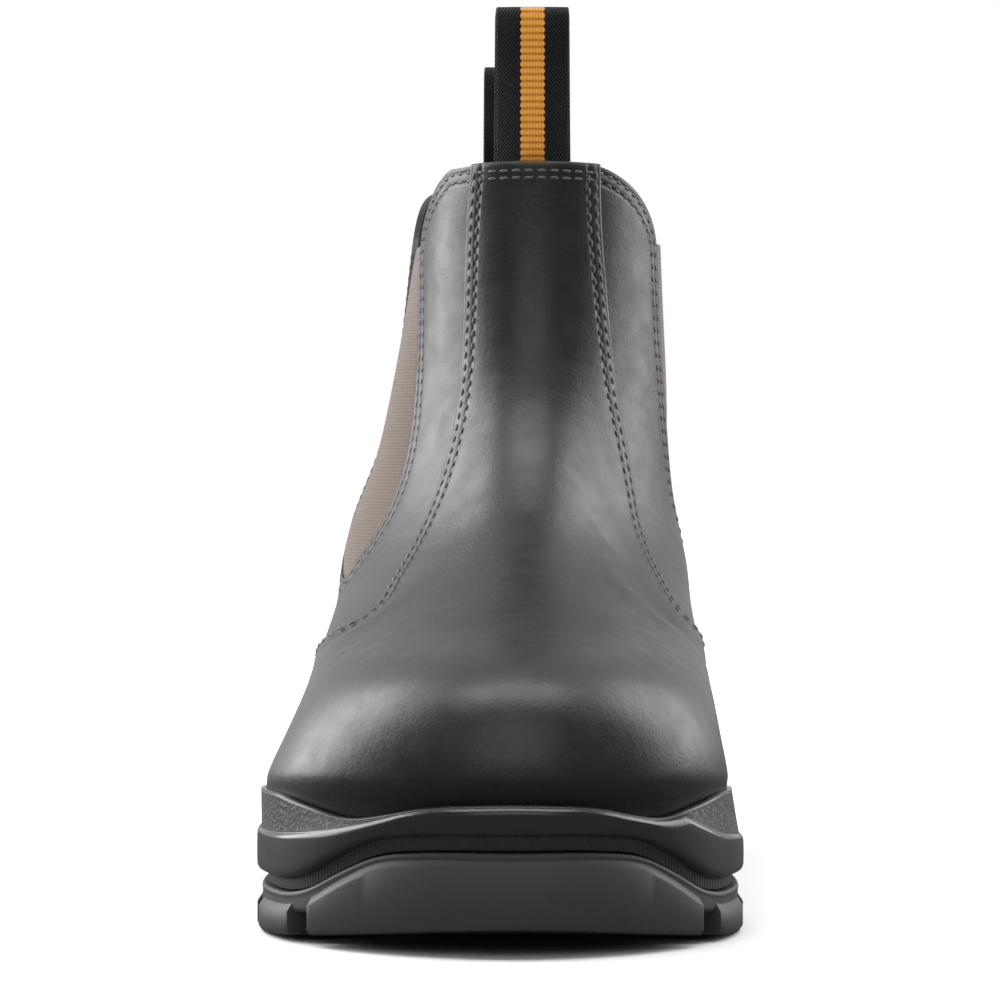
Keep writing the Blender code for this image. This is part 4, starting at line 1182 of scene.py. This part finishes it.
def sole_line(name, way):
    """Height of one of the sole's side lines, its corners eased."""
    way = np.asarray(way, float)
    knots = [row.way for row in SOLE_LINES]
    total = np.zeros(len(way))
    for ease in EASES:
        near = (way + ease) % 2
        share = np.where(near > 1, 2 - near, near)
        if name == "band":
            lateral = np.interp(share, knots, [row.band_lateral for row in SOLE_LINES])
            medial = np.interp(share, knots, [row.band_medial for row in SOLE_LINES])
            total += np.where(near > 1, medial, lateral)
        else:
            total += np.interp(share, knots, [getattr(row, name) for row in SOLE_LINES])
    return total / len(EASES) * TOE_RIM


def tread_height(y):
    """Height of the tread: flat under ball and heel, sprung at the toe, bevelled at the heel."""
    toe = np.clip((TREAD_FLAT_START - y) / (TREAD_FLAT_START + HALF_LENGTH), 0, None) ** 2
    heel = np.clip((y - HEEL_FLAT_END) / (HALF_LENGTH - HEEL_FLAT_END), 0, None) ** 2
    return TOE_SPRING * toe + HEEL_BEVEL * heel


def plate_bottom(y):
    """Underside of the outsole's plate between the lugs, arched between ball and heel."""
    inside = np.clip((y - ARCH_START) / (HEEL_BREAST - ARCH_START), 0, 1)
    return tread_height(y) + LUG_DEPTH + ARCH_RISE * np.sin(math.pi * inside) ** 0.7


def plate_top(way, y):
    return np.minimum(plate_bottom(y) + PLATE_THICKNESS, sole_line("outsole", way) - EDGE_ROUND)


def with_height(flat, height):
    return np.column_stack([flat[:, :2], np.broadcast_to(height, (len(flat),))])


def middle_of(loop):
    """A loop drawn in to the line down its middle, where its two sides meet."""
    return (loop + loop[::-1]) / 2


def rounded(loops, radii, steps=3):
    """The loops with each inner one swapped for a fan of loops that rounds its edge by a radius."""
    made = [loops[0]]
    for before, here, after, radius in zip(loops, loops[1:], loops[2:], radii):
        ends = []
        for other in (before, after):
            reach = other - here
            length = np.linalg.norm(reach, axis=1)[:, None]
            ends.append(here + reach * np.minimum(radius / np.maximum(length, 1e-9), 0.45))
        for share in np.linspace(0, 1, steps + 1):
            made.append((1 - share) ** 2 * ends[0] + 2 * share * (1 - share) * here + share**2 * ends[1])
    return made + [loops[-1]]


def ring_body(name, loops, kept):
    """A closed body through loops, with values kept for each loop or each column under their names."""
    stack = np.array(loops)
    columns, rows = stack.shape[1] - 1, len(stack) - 1

    def place(across, up):
        return stack[np.round(up * rows).astype(int), np.round(across * columns).astype(int)]

    body = formed_grid(name, columns, rows, place)
    row, column = np.divmod(np.arange(len(body.data.vertices)), columns + 1)
    for label, values in kept.items():
        store(body, label, np.asarray(values)[row if len(values) == rows + 1 else column])
    close_seam(body)
    return body


ways = np.linspace(0, 2, SOLE_COLUMNS + 1)
outline = sole_outline(ways)
run_mm = run_along(outline) * 1000
run_mm = np.minimum(run_mm, run_mm[-1] - run_mm)
floor_edge = leather_face(ways, 0, GAP)
floor_edge[:, 2] = last_place(ways, np.zeros(len(ways)))[:, 2] - GAP
lip = lip_ring(ways)
rim_height = last_place(ways, lip)[:, 2]
band = sole_line("band", ways)
groove = sole_line("groove", ways)
bottom = sole_line("outsole", ways) + GAP
rim_outside = with_height(leather_face(ways, lip, GAP + RIM_WIDTH), rim_height)
stepped = with_height(
    sole_outline(ways, BAND_STEP), np.minimum(band + BAND_STEP * 0.6, rim_height - BAND_STEP * 0.4)
)
hollow = (rim_outside + stepped) / 2 - (0, 0, 0.0005)
wall = sole_outline(ways, BUMPER_WIDTH + GAP)
loops = [
    middle_of(floor_edge),
    floor_edge,
    leather_face(ways, 0.5, GAP),
    with_height(leather_face(ways, lip, GAP), rim_height),
    rim_outside,
    rim_outside - (0, 0, 0.0006),
    hollow,
    stepped,
    with_height(outline, np.minimum(band - BAND_STEP * 0.2, rim_height - BAND_STEP * 1.2)),
    with_height(sole_outline(ways, -0.0001), (band + groove) / 2),
    with_height(outline, groove + BAND_STEP * 0.8),
    with_height(sole_outline(ways, GROOVE_INSET), groove),
    with_height(sole_outline(ways, GROOVE_INSET), bottom),
    with_height(wall, bottom),
    with_height(wall, plate_top(ways, wall[:, 1]) + GAP),
    with_height(middle_of(wall), plate_top(ways, middle_of(wall)[:, 1]) + GAP),
]
radii = (
    0.001, 0.003, 0.0004, 0.0004, 0.0003, 0.002, 0.0005, 0.0008, 0.004, 0.0009, 0.0004, 0.0003, 0.0003, 0.0003
)
loops = rounded(loops, radii)
loop_numbers = (np.arange(len(loops)) + 2) / 4
pebbled = np.clip(np.minimum(loop_numbers - 4.9, 7.3 - loop_numbers) * 4, 0, 1)
ribbed_part = np.clip((loop_numbers - 10.9) * 4, 0, 1)

moulded, tree, shader = new_material("moulded_polyurethane_sole")
place = add_node(tree, "ShaderNodeTexCoord").outputs["Object"]
pebble_mask = add_node(tree, "ShaderNodeAttribute", attribute_name="pebbled").outputs["Fac"]
rib_mask = add_node(tree, "ShaderNodeAttribute", attribute_name="ribbed").outputs["Fac"]
along_run = add_node(tree, "ShaderNodeAttribute", attribute_name="run_mm").outputs["Fac"]
pebble = add_node(tree, "ShaderNodeTexNoise", {"Vector": place, "Scale": 1 / PEBBLE_WIDTH, "Detail": 3.0})
fine = add_node(tree, "ShaderNodeTexNoise", {"Vector": place, "Scale": 900.0, "Detail": 2.0})
cloud = add_node(tree, "ShaderNodeTexNoise", {"Vector": place, "Scale": 25.0, "Detail": 3.0})
shades = {"Factor": cloud, "A": linear("191919"), "B": linear("212121")}
tone = add_node(tree, "ShaderNodeMix", shades, data_type="RGBA")
# Painted highlight: the tops of the band's pebbles are coloured light grey, following the same noise that
# raises them in the bump.
pebble_top_highlight = add_node(
    tree,
    "ShaderNodeMapRange",
    {"Value": pebble.outputs["Fac"], "From Min": 0.52, "From Max": 0.72, "To Max": 0.75},
)
pebble_highlight_share = add_node(tree, "ShaderNodeMath", {0: pebble_top_highlight, 1: pebble_mask}, operation="MULTIPLY")
shades = {"Factor": pebble_highlight_share, "A": tone.outputs["Result"], "B": linear("6e6e6c")}
lit = add_node(tree, "ShaderNodeMix", shades, data_type="RGBA")
tree.links.new(lit.outputs["Result"], shader.inputs["Base Color"])
upright = add_node(tree, "ShaderNodeMath", {0: along_run, 1: 2 * math.pi / RIB_SPACING}, operation="MULTIPLY")
upright = add_node(tree, "ShaderNodeMath", {0: upright}, operation="SINE")
relief = add_node(tree, "ShaderNodeMath", {0: rib_mask, 1: 0.45}, operation="MULTIPLY")
relief = add_node(tree, "ShaderNodeMath", {0: upright, 1: relief}, operation="MULTIPLY")
pebbles = add_node(tree, "ShaderNodeMath", {0: pebble_mask, 1: 5.0}, operation="MULTIPLY")
relief = add_node(tree, "ShaderNodeMath", {0: pebble, 1: pebbles, 2: relief}, operation="MULTIPLY_ADD")
relief = add_node(tree, "ShaderNodeMath", {0: fine, 1: 0.10, 2: relief}, operation="MULTIPLY_ADD")
textured = add_node(tree, "ShaderNodeBump", {"Height": relief, "Strength": 0.6, "Distance": 0.00018})
tree.links.new(textured.outputs["Normal"], shader.inputs["Normal"])
pebble_rough = add_node(tree, "ShaderNodeMath", {0: pebble_mask, 1: 0.43, 2: 0.22}, operation="MULTIPLY_ADD")
rib_rough = add_node(tree, "ShaderNodeMath", {0: rib_mask, 1: 0.5}, operation="MULTIPLY")
rough = add_node(tree, "ShaderNodeMath", {0: pebble_rough, 1: rib_rough}, operation="MAXIMUM")
connect(tree, shader, {"Roughness": rough.outputs[0], "Specular IOR Level": 0.5})
midsole = ring_body(
    "moulded_midsole", loops, {"pebbled": pebbled, "ribbed": ribbed_part, "run_mm": run_mm}
)
finish_piece(midsole, moulded, "midsole", 35)

# Outsole. Nitrile rubber moulded with a smooth bumper round the toe, a raised bead along its top, deep lugs
# along both edges with sloped shoulders, and blocks down its middle.
PLATE_INSET = 0.0013
SIDE_LUG_REACH = 0.0190
LUG_LEDGE = 0.0020
LUG_DRAFT = 0.0008
LUG_ROOT = 0.0012
CENTRE_LUG_LENGTH = 0.0130
LUG_ROUND = 0.0004
TOE_LUG_END = 0.143
HEEL_LUG_START = 0.872
# Places of the middle blocks as shares of HALF_LENGTH, and their half widths as shares of HALF_BALL.
CENTRE_LUGS = (
    (-0.70, 0.21),
    (-0.56, 0.37),
    (-0.40, 0.43),
    (-0.235, 0.41),
    (-0.08, 0.33),
    (0.495, 0.23),
    (0.65, 0.21),
)
SIDE_LUGS = ((0.168, 0.245), (0.270, 0.347), (0.372, 0.449), (0.690, 0.765), (0.788, 0.850))


def closed_block(name, sections):
    """A body through closed sections, drawn shut at both ends, with its sharp edges rounded."""
    sections = [np.vstack([section, section[:1]]) for section in sections]
    sections = [
        sections[0] * 0 + sections[0][:-1].mean(axis=0),
        *sections,
        sections[-1] * 0 + sections[-1][:-1].mean(axis=0),
    ]
    block = ring_body(name, sections, {})
    shape = bmesh.new()
    shape.from_mesh(block.data)
    bmesh.ops.recalc_face_normals(shape, faces=shape.faces)
    shape.to_mesh(block.data)
    shape.free()
    round_edges(block, LUG_ROUND, 35)
    return block


def edge_lug(first, last, steps):
    """A lug along the sole's edge between two ways round, reaching in under the sole and up its side."""
    sections = []
    for way in np.linspace(first, last, steps):
        at = np.array([way])
        top = sole_line("lug", at)[0]
        y = sole_outline(way)[0, 1]
        inner_y = sole_outline(way, SIDE_LUG_REACH)[0, 1]
        profile = (
            (LUG_DRAFT, tread_height(y)),
            (0, tread_height(y) + LUG_DRAFT * 1.5),
            (0, top - LUG_LEDGE),
            (PLATE_INSET, top),
            (PLATE_INSET + LUG_ROOT, top),
            (PLATE_INSET + LUG_ROOT * 1.3, plate_bottom(y) + LUG_ROOT),
            (SIDE_LUG_REACH, plate_bottom(inner_y) + LUG_ROOT),
            (SIDE_LUG_REACH - LUG_DRAFT, tread_height(inner_y)),
        )
        sections.append(np.array([(*sole_outline(way, inset)[0], height) for inset, height in profile]))
    return closed_block("edge_lug", sections)


def middle_lug(y, half_width):
    """A block across the middle of the tread, pointed at its ends."""
    middle = (sole_outline(0.5)[0, 0] + sole_outline(1.5)[0, 0]) / 2
    corners = ((-1, 0), (-0.72, -0.5), (0.72, -0.5), (1, 0), (0.72, 0.5), (-0.72, 0.5))
    sections = []
    for draft, grounded in ((LUG_DRAFT, True), (0, False)):
        section = []
        for across, along in corners:
            at = y + along * (CENTRE_LUG_LENGTH - 2 * draft)
            height = tread_height(at) if grounded else plate_bottom(at) + LUG_ROOT
            section.append((middle + across * (half_width - draft), at, height))
        sections.append(np.array(section))
    return closed_block("middle_lug", sections)


rubber, tree, shader = new_material("moulded_nitrile_rubber")
place = add_node(tree, "ShaderNodeTexCoord").outputs["Object"]
speck = add_node(tree, "ShaderNodeTexNoise", {"Vector": place, "Scale": 1500.0, "Detail": 3.0})
cloud = add_node(tree, "ShaderNodeTexNoise", {"Vector": place, "Scale": 30.0, "Detail": 4.0})
shade = add_node(tree, "ShaderNodeMath", {0: cloud, 1: 0.5}, operation="MULTIPLY")
shade = add_node(tree, "ShaderNodeMath", {0: speck, 1: 0.5, 2: shade}, operation="MULTIPLY_ADD")
shades = {"Factor": shade, "A": linear("262726"), "B": linear("343534")}
tone = add_node(tree, "ShaderNodeMix", shades, data_type="RGBA")
tree.links.new(tone.outputs["Result"], shader.inputs["Base Color"])
skin = add_node(
    tree, "ShaderNodeBump", {"Height": speck.outputs["Fac"], "Strength": 0.35, "Distance": 0.00012}
)
connect(tree, shader, {"Normal": skin.outputs["Normal"], "Roughness": 0.52, "Specular IOR Level": 0.45})

edge_loop = sole_outline(ways, PLATE_INSET)
under_loop = sole_outline(ways, PLATE_INSET + EDGE_ROUND)
wall = sole_outline(ways, BUMPER_WIDTH)
top = sole_line("outsole", ways)
loops = [
    with_height(middle_of(wall), plate_top(ways, middle_of(wall)[:, 1])),
    with_height(wall, plate_top(ways, wall[:, 1])),
    with_height(wall, top),
    with_height(sole_outline(ways, PLATE_INSET + 0.0002), top),
    with_height(sole_outline(ways, PLATE_INSET - 0.0002), top - EDGE_ROUND * 1.1),
    with_height(edge_loop, top - EDGE_ROUND * 2.2),
    with_height(edge_loop, plate_bottom(edge_loop[:, 1]) + EDGE_ROUND),
    with_height(under_loop, plate_bottom(under_loop[:, 1])),
    with_height(middle_of(under_loop), plate_bottom(middle_of(under_loop)[:, 1])),
]
outsole = ring_body(
    "rubber_outsole", rounded(loops, (0.0005, 0.0005, 0.0004, 0.0004, 0.0004, 0.0006, 0.0006)), {}
)
lugs = [edge_lug(-TOE_LUG_END, TOE_LUG_END, 61), edge_lug(HEEL_LUG_START, 2 - HEEL_LUG_START, 41)]
for first, last in SIDE_LUGS:
    lugs += [edge_lug(first, last, 9), edge_lug(2 - last, 2 - first, 9)]
for y, half_width in CENTRE_LUGS:
    lugs.append(middle_lug(y * HALF_LENGTH, half_width * HALF_BALL))
bpy.ops.object.select_all(action="DESELECT")
for lug in lugs:
    lug.select_set(True)
outsole.select_set(True)
bpy.context.view_layer.objects.active = outsole
bpy.ops.object.join()
finish_piece(outsole, rubber, "outsole", 35)

# Foot bed. A removable foam insole under a thin knitted cloth lies on the midsole inside the upper. Its edge
# is turned up a little round the heel.
INSOLE_THICKNESS = 0.0050
INSOLE_INSET = 0.0030
HEEL_CUP = 0.0022
KNIT_WIDTH = 0.0014

cloth, tree, shader = new_material("knitted_cloth_over_foam")
place = add_node(tree, "ShaderNodeTexCoord").outputs["Object"]
knit = add_node(tree, "ShaderNodeTexVoronoi", {"Vector": place, "Scale": 1 / KNIT_WIDTH, "Randomness": 0.35})
wear = add_node(tree, "ShaderNodeTexNoise", {"Vector": place, "Scale": 35.0, "Detail": 4.0})
shades = {"Factor": wear, "A": linear("2a2c2e"), "B": linear("3d4043")}
tone = add_node(tree, "ShaderNodeMix", shades, data_type="RGBA")
tree.links.new(tone.outputs["Result"], shader.inputs["Base Color"])
looped = add_node(
    tree, "ShaderNodeBump", {"Height": knit.outputs["Distance"], "Strength": 0.6, "Distance": 0.0003}
)
connect(tree, shader, {"Normal": looped.outputs["Normal"], "Roughness": 0.92, "Sheen Weight": 0.2})
bed = last_place(ways, np.zeros(len(ways)))[:, 2]
low = leather_face(ways, 0, -INSOLE_INSET)
above = leather_face(ways, 0.5, -INSOLE_INSET)
share = ((INSOLE_THICKNESS - EDGE_ROUND) / (above[:, 2] - bed))[:, None]
side = low + (above - low) * share
cupped = HEEL_CUP * np.clip((low[:, 1] - 0.05) / 0.06, 0, 1)
inward = low * 0.75 + middle_of(low) * 0.25
loops = [
    with_height(middle_of(low), middle_of(np.column_stack([low[:, :2], bed]))[:, 2] + INSOLE_THICKNESS),
    with_height(inward, bed + INSOLE_THICKNESS),
    with_height(side * 0.97 + middle_of(side) * 0.03, bed + INSOLE_THICKNESS + cupped),
    with_height(side, bed + INSOLE_THICKNESS * 0.8 + cupped),
    with_height(low, bed),
    with_height(middle_of(low), middle_of(np.column_stack([low[:, :2], bed]))[:, 2]),
]
insole = ring_body("foot_bed", rounded(loops, (0.012, 0.0012, 0.001, 0.0006)), {})
finish_piece(insole, cloth, "insole", 45)
